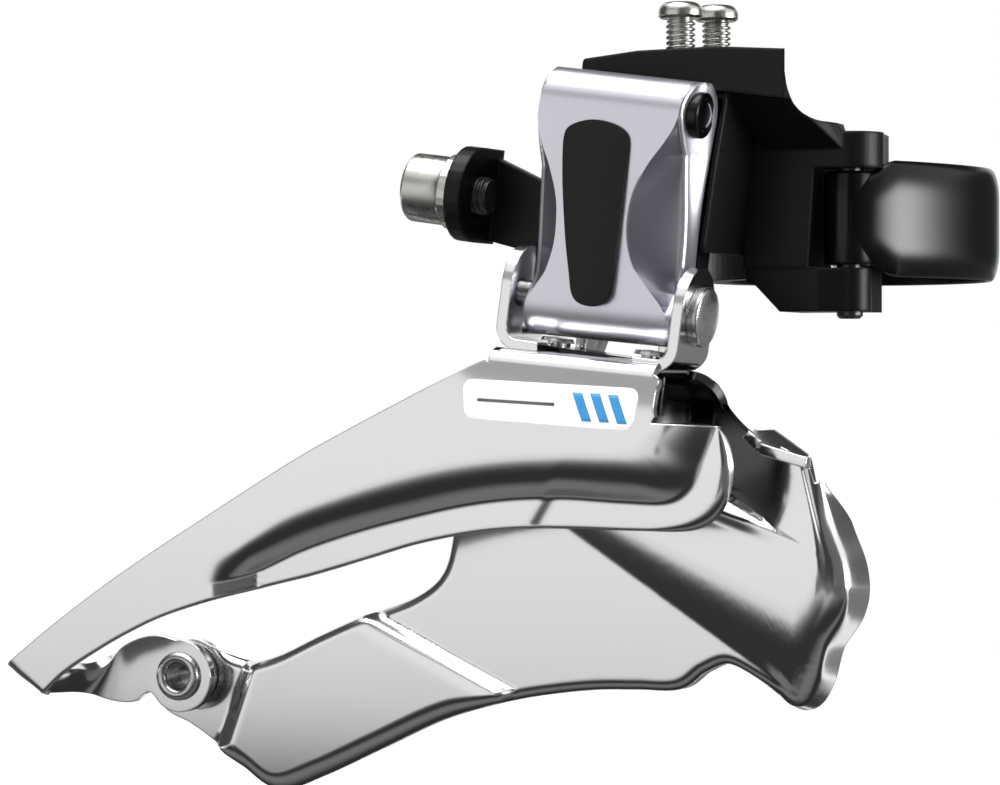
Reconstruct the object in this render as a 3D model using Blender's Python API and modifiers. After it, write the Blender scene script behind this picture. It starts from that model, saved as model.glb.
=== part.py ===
# Front derailleur with a hinged seat tube clamp.
# The seat tube's axis is Z, the origin is on it at the middle of the band, X points forward and Y points
# from the chain side towards the bicycle. Sizes below are in millimetres and are scaled to metres when a
# mesh is made.
import math

import bmesh
import bpy
from mathutils import Matrix, Vector

for item in list(bpy.data.objects):
    bpy.data.objects.remove(item, do_unlink=True)

to_metres = 0.001

# Clearances
fit_gap = 0.3
seat_gap = 0.3

# Seat tube clamp
tube_radius = 17.45
band_thickness = 1.6
band_height = 15.0
saddle_thickness = 3.0
hinge_centre = (6.6, -tube_radius - 4.15)
hinge_pin_radius = 1.7
hinge_eye_radius = 3.3
upper_prong_radius = 4.4
lower_prong_radius = 2.8
prong_gap_half = 6.4
block_top = 11.0
block_bottom = -12.0
block_left = -6.4
collar_left = -10.4
slot_left = 2.4
lug_angle = math.radians(118.0)
lug_reach = tube_radius + 12.55
lug_split_half = 0.9
band_lug_thickness = 2.2
bracket_lug_thickness = 3.2
clamp_bolt_reach = tube_radius + 7.85
clamp_bolt_radius = 2.5
clamp_head_radius = 4.2
clamp_head_height = 4.4
clamp_socket_radius = 2.2

# Parallelogram linkage
pivot_tilt = math.radians(8.0)
outer_pivot = (-15.2, -42.0, 13.6)
link_length = 25.0
inner_across = 13.0
inner_drop = -0.5
axle_radius = 1.6
axle_hole = axle_radius + fit_gap
axle_head_height = 0.7

# Outer link
link_half_width = 10.2
link_wall_inside = 7.0
link_top_radius = 4.1
link_foot_radius = 3.7
link_waist_back = -1.1
link_shell_gap_top = 3.1
link_shell_gap_foot = 2.7
scoop_start = 5.5
scoop_width = 4.7
scoop_rise = 2.3
scoop_radius = 58.0
plate_recess = 0.6
name_plate_thickness = 0.5

# Inner link and cable arm
inner_half_width = 8.4
inner_wall = 1.6
inner_web_out = -4.9
inner_web_in = -3.3
inner_ear_radius = 3.4
arm_front = -21.4
arm_thickness = 2.2
arm_bolt_across = -9.2
arm_bolt_drop = -13.0
arm_tip_radius = 6.2
cable_bolt_radius = 2.5
cable_head_radius = 4.5
cable_head_length = 5.4
cable_socket_radius = 2.2

# Bracket body
boss_half_width = 6.5
outer_boss_radius = 2.8
inner_boss_radius = 3.0
cap_bottom = 3.4
shoulder_turn = math.radians(25.0)
limit_screw_radius = 1.9
limit_head_radius = 2.85
limit_head_height = 2.1
high_screw_place = (-11.2, -35.6)
low_screw_place = (-11.6, -22.2)

# Return spring
spring_radius = 3.4
spring_wire_radius = 0.7
spring_pitch = 2.0
spring_turns = 3

# Cage
sheet = 1.3
outer_face = -50.0
inner_face = -35.3
recess_depth = 3.2
roof_top = -link_length - 6.0
roof_half_length = 12.5
roof_inner_edge = 4.5
roof_bend = 2.5
ear_inside = 11.0
ear_thickness = 1.5
tail_lug_offset = (-64.3, -49.5)
tail_lug_radius = 4.8
tail_lug_face = -38.6
step_begin = -53.8
facet_rise = 2.2
nose_slope = math.tan(math.radians(17.0))
hollow_slope = 0.28
flange_depth = 3.4
nose_flange_more = 2.0


def make_collection(name):
    made = bpy.data.collections.new(name)
    bpy.context.scene.collection.children.link(made)
    return made


parts = make_collection("Front derailleur")
cutters = make_collection("Cutters")


def finish(name, colour, rough, metal):
    made = bpy.data.materials.new(name)
    made.use_nodes = True
    shader = made.node_tree.nodes["Principled BSDF"]
    shader.inputs["Base Color"].default_value = (*colour, 1.0)
    shader.inputs["Roughness"].default_value = rough
    shader.inputs["Metallic"].default_value = metal
    made.diffuse_color = (*colour, 1.0)
    return made


black_cast = (0.03, 0.03, 0.035)
black_gloss = (0.02, 0.02, 0.02)
bright_plate = (0.75, 0.75, 0.76)
silver_paint = (0.55, 0.54, 0.58)
zinc = (0.62, 0.62, 0.6)
dark_steel = (0.12, 0.12, 0.13)

# Frames: each maps an outline's u, v and its thickness direction w into the world.
linkage = Matrix.Translation(outer_pivot) @ Matrix.Rotation(pivot_tilt, 4, "Y")
inner_upper = linkage @ Matrix.Translation((0, inner_across, inner_drop))
outer_lower = linkage @ Matrix.Translation((0, 0, -link_length))
inner_lower = inner_upper @ Matrix.Translation((0, 0, -link_length))
world = Matrix.Identity(4)
across = Matrix(((0, 0, 1, 0), (1, 0, 0, 0), (0, 1, 0, 0), (0, 0, 0, 1)))
facing = Matrix(((1, 0, 0, 0), (0, 0, -1, 0), (0, 1, 0, 0), (0, 0, 0, 1)))
lug_out = Vector((math.cos(lug_angle), math.sin(lug_angle), 0))
lug_way = Vector((math.sin(lug_angle), -math.cos(lug_angle), 0))
lug_frame = Matrix(
    (
        (lug_out.x, 0, lug_way.x, 0),
        (lug_out.y, 0, lug_way.y, 0),
        (0, 1, 0, 0),
        (0, 0, 0, 1),
    )
)


def arc(centre, radius, start, end, steps):
    # Points on an arc from one angle to another, in degrees.
    out = []
    for step in range(steps + 1):
        turn = math.radians(start + (end - start) * step / steps)
        out.append((centre[0] + radius * math.cos(turn), centre[1] + radius * math.sin(turn)))
    return out


def ring(centre, radius, steps):
    return arc(centre, radius, 0, 360 - 360 / steps, steps - 1)


def rounded(corners, steps=4):
    # An outline whose corners (u, v, radius) are each rounded by their own radius.
    out = []
    count = len(corners)
    for index in range(count):
        here = Vector(corners[index][:2])
        radius = corners[index][2]
        if radius == 0:
            out.append(tuple(here))
            continue
        back = (Vector(corners[index - 1][:2]) - here).normalized()
        ahead = (Vector(corners[(index + 1) % count][:2]) - here).normalized()
        half = back.angle(ahead) / 2
        centre = here + (back + ahead).normalized() * (radius / math.sin(half))
        first = here + back * (radius / math.tan(half)) - centre
        last = here + ahead * (radius / math.tan(half)) - centre
        start = math.atan2(first.y, first.x)
        sweep = math.atan2(last.y, last.x) - start
        sweep = (sweep + math.pi) % (2 * math.pi) - math.pi
        for step in range(steps + 1):
            turn = start + sweep * step / steps
            out.append((centre.x + radius * math.cos(turn), centre.y + radius * math.sin(turn)))
    return out


def weld(mesh):
    work = bmesh.new()
    work.from_mesh(mesh)
    bmesh.ops.remove_doubles(work, verts=work.verts, dist=0.0005)
    bmesh.ops.recalc_face_normals(work, faces=work.faces)
    work.to_mesh(mesh)
    work.free()
    return mesh


def slab(loops, low, high, frame):
    # A flat outline with holes, filled as a 2D curve and given its thickness, in world millimetres.
    curve = bpy.data.curves.new("outline", "CURVE")
    curve.dimensions = "2D"
    curve.fill_mode = "BOTH"
    curve.extrude = (high - low) / 2
    for loop in loops:
        spline = curve.splines.new("POLY")
        spline.points.add(len(loop) - 1)
        spline.use_cyclic_u = True
        for point, (u, v) in zip(spline.points, loop):
            point.co = (u, v, 0, 1)
    holder = bpy.data.objects.new("outline", curve)
    bpy.context.scene.collection.objects.link(holder)
    graph = bpy.context.evaluated_depsgraph_get()
    mesh = bpy.data.meshes.new_from_object(holder.evaluated_get(graph))
    bpy.data.objects.remove(holder, do_unlink=True)
    weld(mesh)
    mesh.transform(frame @ Matrix.Translation((0, 0, (low + high) / 2)))
    return mesh


def rod(centre, radius, low, high, frame, steps=24):
    return slab([ring(centre, radius, steps)], low, high, frame)


def turned(profile, frame, steps=32):
    # A solid of revolution about the frame's w axis, from (radius, height) pairs between two axis points.
    work = bmesh.new()
    rows = []
    for radius, height in profile:
        if radius == 0:
            rows.append([work.verts.new((0, 0, height))])
            continue
        row = []
        for step in range(steps):
            turn = 2 * math.pi * step / steps
            row.append(work.verts.new((radius * math.cos(turn), radius * math.sin(turn), height)))
        rows.append(row)
    for lower, upper in zip(rows, rows[1:]):
        for step in range(steps):
            after = (step + 1) % steps
            if len(lower) == 1:
                work.faces.new((lower[0], upper[after], upper[step]))
            elif len(upper) == 1:
                work.faces.new((lower[step], lower[after], upper[0]))
            else:
                work.faces.new((lower[step], lower[after], upper[after], upper[step]))
    bmesh.ops.recalc_face_normals(work, faces=work.faces)
    mesh = bpy.data.meshes.new("turned")
    work.to_mesh(mesh)
    work.free()
    mesh.transform(frame)
    return mesh


def hull(points):
    work = bmesh.new()
    for point in points:
        work.verts.new(point)
    bmesh.ops.convex_hull(work, input=work.verts)
    bmesh.ops.recalc_face_normals(work, faces=work.faces)
    mesh = bpy.data.meshes.new("hull")
    work.to_mesh(mesh)
    work.free()
    return mesh


def shell(rows, thickness):
    # A sheet metal surface from rows of points, with its thickness on the side away from the normals.
    work = bmesh.new()
    grid = [[work.verts.new(point) for point in row] for row in rows]
    for near, far in zip(grid, grid[1:]):
        for index in range(len(near) - 1):
            work.faces.new((near[index], near[index + 1], far[index + 1], far[index]))
    mesh = bpy.data.meshes.new("sheet")
    work.to_mesh(mesh)
    work.free()
    holder = bpy.data.objects.new("sheet", mesh)
    bpy.context.scene.collection.objects.link(holder)
    thick = holder.modifiers.new("Thickness", "SOLIDIFY")
    thick.thickness = thickness
    thick.offset = -1
    thick.use_even_offset = False
    graph = bpy.context.evaluated_depsgraph_get()
    made = bpy.data.meshes.new_from_object(holder.evaluated_get(graph))
    bpy.data.objects.remove(holder, do_unlink=True)
    return made


def add(name, mesh, place, material):
    # A named part whose origin is the given frame's, which is the joint's axis for a moving part.
    mesh.transform(Matrix.Scale(to_metres, 4))
    metres = place.copy()
    metres.translation = place.translation * to_metres
    mesh.transform(metres.inverted())
    mesh.name = name
    mesh.materials.clear()
    mesh.materials.append(material)
    made = bpy.data.objects.new(name, mesh)
    made.matrix_world = metres
    parts.objects.link(made)
    return made


def tool(part, mesh, operation):
    mesh.transform(Matrix.Scale(to_metres, 4))
    mesh.transform(part.matrix_world.inverted())
    made = bpy.data.objects.new(part.name + " tool", mesh)
    made.matrix_world = part.matrix_world
    made.hide_render = True
    made.display_type = "WIRE"
    cutters.objects.link(made)
    step = part.modifiers.new(operation.title(), "BOOLEAN")
    step.operation = operation
    step.solver = "EXACT"
    step.object = made


def join(part, mesh):
    tool(part, mesh, "UNION")


def cut(part, mesh):
    tool(part, mesh, "DIFFERENCE")


def spline(points, share):
    # A smooth curve through the points, read at a share of its run from 0 to 1.
    place = share * (len(points) - 1)
    index = min(int(place), len(points) - 2)
    local = place - index
    before = Vector(points[max(index - 1, 0)])
    first = Vector(points[index])
    second = Vector(points[index + 1])
    after = Vector(points[min(index + 2, len(points) - 1)])
    bend = 2 * first + (second - before) * local
    bend += (2 * before - 5 * first + 4 * second - after) * local**2
    bend += (3 * first - before - 3 * second + after) * local**3
    return bend / 2


def ease(value):
    value = min(max(value, 0.0), 1.0)
    return value * value * (3 - 2 * value)


def side_of(point, first, second):
    # Distance of a point from a line, positive on the line's left.
    along = (second[0] - first[0], second[1] - first[1])
    length = math.hypot(*along)
    return (along[0] * (point[1] - first[1]) - along[1] * (point[0] - first[0])) / length


# Main bracket: the fixed half of the clamp with the hinge prongs
hinge_x, hinge_y = hinge_centre
block_front = hinge_y - upper_prong_radius
block_plan = [(block_left, block_front)]
block_plan += arc(hinge_centre, upper_prong_radius, -90, 35, 14)
block_plan += arc((0, 0), tube_radius, -57, -112, 9)
block_plan += [(block_left, -19.5)]
bracket = add(
    "main_bracket",
    slab([block_plan], prong_gap_half - 2 * prong_gap_half, block_top, world),
    world,
    finish("black painted casting", black_cast, 0.4, 0.0),
)
low_plan = [(block_left + 0.3, block_front + 0.3)]
low_plan += arc(hinge_centre, lower_prong_radius, -90, 35, 14)
low_plan[1] = (hinge_x - 3.0, block_front + 0.3)
low_plan += arc((0, 0), tube_radius, -60, -111, 9)
low_plan += [(block_left + 0.3, -19.3)]
join(bracket, slab([low_plan], block_bottom, -prong_gap_half + 2.0, world))
saddle = arc((0, 0), tube_radius, -100, -238.0, 30)
saddle += arc((0, 0), tube_radius + saddle_thickness, -238.0, -100, 30)
join(bracket, slab([saddle], -band_height / 2, band_height / 2, world))
collar_plan = [(collar_left, -19.4), (block_left + 0.5, -19.4)]
collar_plan += arc((0, 0), tube_radius, -109.5, -126.5, 5)
join(bracket, slab([collar_plan], band_height / 2 - 1.2, block_top - 0.4, world))
lug_outline = rounded(
    [
        (tube_radius + 0.3, -7.2, 0),
        (lug_reach, -6.0, 4.0),
        (lug_reach, 6.0, 4.0),
        (tube_radius + 0.3, 7.2, 0),
    ]
)
bolt_hole = ring((clamp_bolt_reach, 0), clamp_bolt_radius + fit_gap, 24)
join(
    bracket,
    slab([lug_outline, bolt_hole], -lug_split_half - bracket_lug_thickness, -lug_split_half, lug_frame),
)

# Main bracket: the pivot block, from the outer boss over the inner link to the low limit screw
block_side = arc((0, 0), outer_boss_radius, 38, 290, 14)
block_side += [(4.0, -2.5), (5.2, -1.8), (7.2, 0.9), (9.0, 3.0), (9.9, 3.0), (10.7, 1.6)]
block_side += arc((inner_across, inner_drop), inner_boss_radius, 140, 355, 12)
block_side += [(16.3, 3.8), (23.4, 3.8), (23.4, 5.2), (5.6, 5.2), (5.2, 1.7)]
join(bracket, slab([block_side], -boss_half_width, boss_half_width, linkage @ across))
cap_outline = rounded(
    [
        (-8.9, cap_bottom, 0.4),
        (19.0, cap_bottom, 0),
        (19.0, 9.6, 0),
        (9.0, 8.9, 3),
        (-1.5, 7.3, 3),
        (-8.9, 5.5, 0.5),
    ]
)
join(bracket, slab([cap_outline], -23.2, -3.0, linkage @ facing))
neck_points = []
for u in (9.9, 18.6):
    for v in (5.7, 19.0):
        for w in (3.6, 8.4):
            neck_points.append(linkage @ Vector((u, v, w)))
for x in (-3.6, 7.2):
    for y in (block_front + 0.2, -19.2):
        for z in (8.6, block_top - 0.2):
            neck_points.append(Vector((x, y, z)))
join(bracket, hull(neck_points))
shoulder = [(-12.7, 30), (-12.7, 17.7)] + arc((-7.0, 17.7), 5.7, 195, 265, 8)
shoulder += [(-4.0, 11.9), (4.0, block_top + 0.1), (14, block_top + 0.1), (14, 30)]
view_turn = Matrix.Rotation(shoulder_turn, 4, "Z")
cut(bracket, slab([shoulder], -10, 60, view_turn @ facing))
cut(bracket, slab([[(-9, -7.5), (-5.0, -8.4), (-0.5, -13), (-9, -13)]], 10, 40, world @ facing))
slot_outline = [(slot_left, -prong_gap_half), (20, -prong_gap_half), (20, prong_gap_half)]
slot_outline += [(slot_left + 0.8, prong_gap_half)]
cut(bracket, slab([slot_outline], 8, 40, world @ facing))
cut(bracket, rod(hinge_centre, hinge_pin_radius + fit_gap, -20, 20, world))
cut(bracket, rod(hinge_centre, 3.1, block_top, 20, world))
cut(bracket, rod((0, 0), axle_hole, -20, 20, linkage @ across))
cut(bracket, rod((0, 0), axle_hole, -20, 10.8, inner_upper @ across))
pocket = arc((0, 0), 4.7, 90, 270, 12) + [(12, -4.7), (12, 4.7)]
cut(bracket, slab([pocket], -4.2, 4.2, inner_upper @ across))
cut(bracket, rod((3.0, spring_radius), 1.1, 2.0, 7.2, inner_upper, 12))
screw_bore = limit_screw_radius + fit_gap
cut(bracket, rod(high_screw_place, screw_bore, 8, 40, world))
cut(bracket, rod(low_screw_place, screw_bore, 8, 40, world))

# Clamp: pin, band, nut, bolt and washer
pin_low = block_bottom - 0.9
pin_profile = [(0, pin_low), (1.3, pin_low), (hinge_pin_radius, pin_low + 0.4)]
pin_profile += [(hinge_pin_radius, block_top - 0.6), (1.3, block_top - 0.2), (0, block_top - 0.2)]
add(
    "hinge_pin",
    turned(pin_profile, Matrix.Translation((hinge_x, hinge_y, 0)), 24),
    Matrix.Translation((hinge_x, hinge_y, 0)),
    finish("black steel pin", dark_steel, 0.35, 1.0),
)
hinge_frame = Matrix.Translation((hinge_x, hinge_y, 0))
eye_mid = hinge_eye_radius - band_thickness / 2
band_mid = tube_radius + band_thickness / 2
reach = math.hypot(hinge_x, hinge_y)
tangent = math.degrees(math.atan2(hinge_y, hinge_x) + math.acos((band_mid - eye_mid) / reach))
tangent_way = Vector((math.cos(math.radians(tangent)), math.sin(math.radians(tangent))))
eye_outside = Vector(hinge_centre) + tangent_way * hinge_eye_radius
eye_inside = Vector(hinge_centre) + tangent_way * (hinge_eye_radius - band_thickness)
lug_degrees = math.degrees(lug_angle)
strap = [tuple(eye_outside)]
strap += arc((0, 0), tube_radius + band_thickness, tangent, lug_degrees - 4.5, 28)
strap += arc((0, 0), tube_radius, lug_degrees - 4.5, tangent, 28)
strap += [tuple(eye_inside)]
band = add(
    "clamp_band",
    slab([strap], -band_height / 2, band_height / 2, world),
    hinge_frame,
    finish("black gloss band", black_gloss, 0.15, 0.0),
)
join(band, rod(hinge_centre, hinge_eye_radius - 0.05, -band_height / 2, band_height / 2, world))
band_lug = slab(
    [lug_outline, ring((clamp_bolt_reach, 0), clamp_bolt_radius + 2 * fit_gap, 24)],
    lug_split_half,
    lug_split_half + band_lug_thickness,
    lug_frame,
)
join(band, band_lug)
eye_trim = prong_gap_half - fit_gap
trim_plan = ring(hinge_centre, upper_prong_radius + 0.6, 32)
cut(band, slab([trim_plan], eye_trim, 12, world))
cut(band, slab([trim_plan], -12, -eye_trim, world))
cut(band, rod(hinge_centre, hinge_pin_radius + fit_gap, -12, 12, world))
nut_low = lug_split_half + band_lug_thickness + seat_gap
nut_inside = clamp_bolt_reach - 4
nut_outside = clamp_bolt_reach + 4
nut_corners = [(nut_inside, -4, 0.6), (nut_outside, -4, 0.6), (nut_outside, 4, 0.6), (nut_inside, 4, 0.6)]
nut_outline = rounded(nut_corners, 2)
add(
    "clamp_nut",
    slab(
        [nut_outline, ring((clamp_bolt_reach, 0), clamp_bolt_radius + 2 * fit_gap, 24)],
        nut_low,
        nut_low + 3.4,
        lug_frame,
    ),
    hinge_frame,
    finish("zinc plated nut", zinc, 0.35, 1.0),
)
bolt_frame = lug_frame @ Matrix.Translation((clamp_bolt_reach, 0, 0))
washer_low = -lug_split_half - bracket_lug_thickness - seat_gap - 1.0
add(
    "clamp_washer",
    slab(
        [ring((0, 0), clamp_head_radius + 0.5, 32), ring((0, 0), clamp_bolt_radius + fit_gap, 24)],
        washer_low,
        washer_low + 1.0,
        bolt_frame,
    ),
    bolt_frame,
    finish("zinc plated washer, clamp", zinc, 0.35, 1.0),
)
head_seat = washer_low - seat_gap
head_end = head_seat - clamp_head_height
bolt_profile = [(0, head_end), (clamp_head_radius - 0.6, head_end), (clamp_head_radius, head_end + 0.6)]
bolt_profile += [(clamp_head_radius, head_seat), (clamp_bolt_radius, head_seat)]
bolt_profile += [(clamp_bolt_radius, 5.1), (clamp_bolt_radius - 0.5, 5.6), (0, 5.6)]
clamp_bolt = add(
    "clamp_bolt",
    turned(bolt_profile, bolt_frame, 28),
    bolt_frame,
    finish("black steel bolt", dark_steel, 0.3, 1.0),
)
cut(clamp_bolt, rod((0, 0), clamp_socket_radius, head_end - 1, head_end + 2.6, bolt_frame, 6))


def axle(name, frame, stops, colour, rough):
    # A turned axle along the frame's x axis: (radius, place) pairs from its rear end to its front end.
    profile = [(0, stops[0][1])] + stops + [(0, stops[-1][1])]
    return add(name, turned(profile, frame @ across, 24), frame, finish(name + " steel", colour, rough, 1.0))


# Axles and clips at the upper pivots
clip_bore = ring((0, 0), axle_hole, 20)
front_seat = link_half_width + fit_gap
axle(
    "outer_upper_axle",
    linkage,
    [
        (axle_radius - 0.3, -11.9),
        (axle_radius, -11.6),
        (axle_radius, front_seat),
        (2.9, front_seat),
        (2.9, front_seat + 0.4),
        (2.5, front_seat + axle_head_height),
    ],
    black_cast,
    0.3,
)
add(
    "outer_upper_clip",
    slab([ring((0, 0), 2.8, 24), clip_bore], -front_seat - 0.8, -front_seat, linkage @ across),
    linkage,
    finish("spring steel clip, outer", dark_steel, 0.35, 1.0),
)
inner_seat = inner_half_width + fit_gap
axle(
    "inner_upper_axle",
    inner_upper,
    [
        (axle_radius - 0.3, -11.4),
        (axle_radius, -11.1),
        (axle_radius, inner_seat),
        (2.5, inner_seat),
        (2.4, inner_seat + 0.6),
    ],
    dark_steel,
    0.3,
)
add(
    "inner_upper_clip",
    slab([ring((0, 0), 2.7, 24), clip_bore], -inner_seat - 0.8, -inner_seat, inner_upper @ across),
    inner_upper,
    finish("spring steel clip, inner", dark_steel, 0.35, 1.0),
)
add(
    "spring_bush",
    slab([ring((0, 0), 2.4, 24), clip_bore], -3.8, 3.8, inner_upper @ across),
    inner_upper,
    finish("black nylon bush", black_cast, 0.5, 0.0),
)

# Return spring: one wire with a hooked moving leg, three turns and a fixed leg that goes up into the cap
wire = [(2.0, spring_radius, -7.8), (0.0, spring_radius, -7.8), (-2.1, spring_radius, -7.8)]
wire += [(-2.75, spring_radius, -7.5), (-3.0, spring_radius, -6.8), (-3.0, spring_radius, -4.5)]
wire += [(-3.0, spring_radius, -2.2)]
per_turn = 10
for step in range(spring_turns * per_turn + 1):
    turn = 2 * math.pi * step / per_turn
    along = -3.0 + spring_pitch * step / per_turn
    wire.append((along, spring_radius * math.cos(turn), spring_radius * math.sin(turn)))
wire += [(3.0, spring_radius, 2.2), (3.0, spring_radius, 4.2), (3.0, spring_radius, 6.2)]
coil_gap = 1000.0
for first in range(len(wire)):
    for second in range(first + per_turn // 2, len(wire)):
        apart = (Vector(wire[first]) - Vector(wire[second])).length
        coil_gap = min(coil_gap, apart - 2 * spring_wire_radius)
print("least gap of the spring to itself, mm:", round(coil_gap, 3))
wire_curve = bpy.data.curves.new("wire", "CURVE")
wire_curve.dimensions = "3D"
wire_curve.bevel_depth = spring_wire_radius
wire_curve.bevel_resolution = 1
wire_curve.use_fill_caps = True
wire_spline = wire_curve.splines.new("POLY")
wire_spline.points.add(len(wire) - 1)
for point, place in zip(wire_spline.points, wire):
    point.co = (*place, 1)
wire_holder = bpy.data.objects.new("wire", wire_curve)
bpy.context.scene.collection.objects.link(wire_holder)
wire_mesh = bpy.data.meshes.new_from_object(wire_holder.evaluated_get(bpy.context.evaluated_depsgraph_get()))
bpy.data.objects.remove(wire_holder, do_unlink=True)
weld(wire_mesh)
wire_mesh.transform(inner_upper)
add("return_spring", wire_mesh, inner_upper, finish("spring steel wire", (0.3, 0.3, 0.31), 0.3, 1.0))


def limit_screw(name, place, tip, seat):
    frame = Matrix.Translation((place[0], place[1], 0))
    top = seat + limit_head_height
    profile = [(0, tip), (limit_screw_radius - 0.5, tip), (limit_screw_radius, tip + 0.5)]
    profile += [(limit_screw_radius, seat), (limit_head_radius, seat), (limit_head_radius, seat + 1.2)]
    profile += [(limit_head_radius - 0.35, top - 0.35), (limit_head_radius - 0.9, top), (0, top)]
    made = add(name, turned(profile, frame, 24), frame, finish(name + " zinc", zinc, 0.3, 1.0))
    for u, v in ((2.0, 0.4), (0.4, 2.0)):
        slot = [(-u, -v), (u, -v), (u, v), (-u, v)]
        cut(made, slab([slot], top - 1.3, top + 1, frame))
    return made


limit_screw("high_limit_screw", high_screw_place, 13.4, 25.2)
limit_screw("low_limit_screw", low_screw_place, 8.6, 26.1)

# Outer link
side = arc((0, 0), link_top_radius, 0, 180, 12)
side += arc((0, -link_length), link_foot_radius, 180, 360, 12)
for step in range(1, 14):
    share = step / 14
    swell = (link_foot_radius + (link_top_radius - link_foot_radius) * share + link_waist_back) / 2
    depth = (link_foot_radius + (link_top_radius - link_foot_radius) * share - link_waist_back) / 2
    side.append((swell + depth * math.cos(2 * math.pi * share), -link_length * (1 - share)))
outer_link = add(
    "outer_link",
    slab([side], -link_half_width, link_half_width, linkage @ across),
    linkage,
    finish("silver painted alloy", silver_paint, 0.35, 0.6),
)
scoop_length = math.hypot(scoop_width, scoop_rise)
for way in (1, -1):
    normal = Vector((way * scoop_rise / scoop_length, -scoop_width / scoop_length, 0))
    thick = normal.cross(Vector((0, 0, 1)))
    start = Vector((way * scoop_start, -(link_top_radius + link_foot_radius) / 2, -link_length / 2))
    frame = Matrix(
        (
            (normal.x, 0, thick.x, start.x),
            (normal.y, 0, thick.y, start.y),
            (0, 1, 0, start.z),
            (0, 0, 0, 1),
        )
    )
    bite = []
    for step in range(17):
        height = -18 + 36 * step / 16
        bite.append((height * height / (2 * scoop_radius), height))
    bite += [(9, 18), (9, -18)]
    cut(outer_link, slab([bite], -16, 16, linkage @ frame))
pocket = arc((0, 0), link_shell_gap_top, 90, 270, 12)
pocket += [(9, -link_shell_gap_top), (9, 7), (0.4, 7), (0.4, link_shell_gap_top)]
cut(outer_link, slab([pocket], -link_wall_inside, link_wall_inside, linkage @ across))
pocket = arc((0, -link_length), link_shell_gap_foot, 90, 270, 12)
pocket += [(9, -link_length - link_shell_gap_foot), (9, -link_length + link_shell_gap_foot)]
cut(outer_link, slab([pocket], -link_wall_inside, link_wall_inside, linkage @ across))
cut(outer_link, rod((0, 0), axle_hole, -20, 20, linkage @ across))
cut(outer_link, rod((0, -link_length), axle_hole, -20, 20, linkage @ across))
plate_lean = math.atan2(link_top_radius - link_foot_radius, link_length)
plate_frame = linkage @ Matrix.Translation((0, -link_top_radius, 0)) @ Matrix.Rotation(-plate_lean, 4, "X")
plate_corners = [(-6.0, -3.0), (2.4, -3.0), (2.7, -24.2), (-1.7, -24.8)]
plate_loop = rounded([(u, v, 1.6) for u, v in plate_corners], 5)
recess_corners = [(-6.35, -2.65), (2.75, -2.65), (3.05, -24.55), (-2.05, -25.15)]
recess_loop = rounded([(u, v, 1.9) for u, v in recess_corners], 5)
cut(outer_link, slab([recess_loop], -plate_recess, 5, plate_frame @ facing))
plate_back = -plate_recess + seat_gap
add(
    "name_plate",
    slab([plate_loop], plate_back, plate_back + name_plate_thickness, plate_frame @ facing),
    linkage,
    finish("black plate", black_cast, 0.3, 0.0),
)

# Inner link with its stop tongue and the bent cable arm
web = [
    (-inner_half_width, -1.0),
    (-inner_half_width, -20.5),
    (inner_half_width, -20.5),
    (inner_half_width, -1.0),
    (4.8, -1.0),
    (4.8, -4.9),
    (-4.8, -4.9),
    (-4.8, -1.0),
]
inner_link = add(
    "inner_link",
    slab([web], -inner_web_in, -inner_web_out, inner_upper @ facing),
    inner_upper,
    finish("black painted steel", black_cast, 0.4, 0.0),
)
wall = [(inner_web_out + 0.05, 0.9)]
wall += arc((0, 0), inner_ear_radius, 140, -60, 12)
wall += [(-1.2, -6.5), (-1.2, -18.5)]
wall += arc((0, -link_length), inner_ear_radius, 60, -140, 12)
wall += [(inner_web_out + 0.05, -25.9)]
for low in (-inner_half_width + 0.05, inner_half_width - inner_wall - 0.05):
    join(inner_link, slab([wall], low, low + inner_wall, inner_upper @ across))
tongue_root = inner_web_out + 0.1
tongue = rounded([(-1.8, tongue_root, 0), (4.2, tongue_root, 0), (4.2, 8.8, 1), (-1.8, 8.8, 1)])
join(inner_link, slab([tongue], -6.6, -5.2, inner_upper))
arm_root = rounded(
    [
        (-7.5, -12.4, 0),
        (arm_front - arm_thickness + 0.4, -7.4, 0),
        (arm_front - arm_thickness + 0.4, -18.6, 0),
        (-7.5, -20.4, 0),
    ]
)
join(inner_link, slab([arm_root], -inner_web_in - 0.1, -inner_web_out - 0.1, inner_upper @ facing))
arm_side = [(inner_web_in, arm_bolt_drop - arm_tip_radius), (inner_web_in, arm_bolt_drop + arm_tip_radius)]
arm_side += arc((arm_bolt_across, arm_bolt_drop), arm_tip_radius, 90, 270, 14)
arm_hole = ring((arm_bolt_across, arm_bolt_drop), cable_bolt_radius + fit_gap, 24)
join(inner_link, slab([arm_side, arm_hole], arm_front - arm_thickness, arm_front, inner_upper @ across))
for drop in (0, -link_length):
    cut(inner_link, rod((0, drop), axle_hole, -14, 14, inner_upper @ across))

# Cable bolt and its washer, pointing to the rear
cable_frame = inner_upper @ Matrix.Translation((0, arm_bolt_across, arm_bolt_drop))
washer_front = arm_front - arm_thickness - seat_gap
add(
    "cable_washer",
    slab(
        [ring((0, 0), 4.9, 32), ring((0, 0), cable_bolt_radius + fit_gap, 24)],
        washer_front - 1.4,
        washer_front,
        cable_frame @ across,
    ),
    cable_frame,
    finish("zinc plated washer, cable", zinc, 0.3, 1.0),
)
cable_seat = washer_front - 1.4 - seat_gap
cable_end = cable_seat - cable_head_length
cable_bolt = axle(
    "cable_bolt",
    cable_frame,
    [
        (cable_head_radius - 0.5, cable_end),
        (cable_head_radius, cable_end + 0.5),
        (cable_head_radius, cable_seat),
        (cable_bolt_radius, cable_seat),
        (cable_bolt_radius, arm_front + 1.2),
        (cable_bolt_radius - 0.5, arm_front + 1.7),
    ],
    (0.68, 0.67, 0.64),
    0.3,
)
cut(cable_bolt, rod((0, 0), cable_socket_radius, cable_end - 1, cable_end + 3.0, cable_frame @ across, 6))

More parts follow.
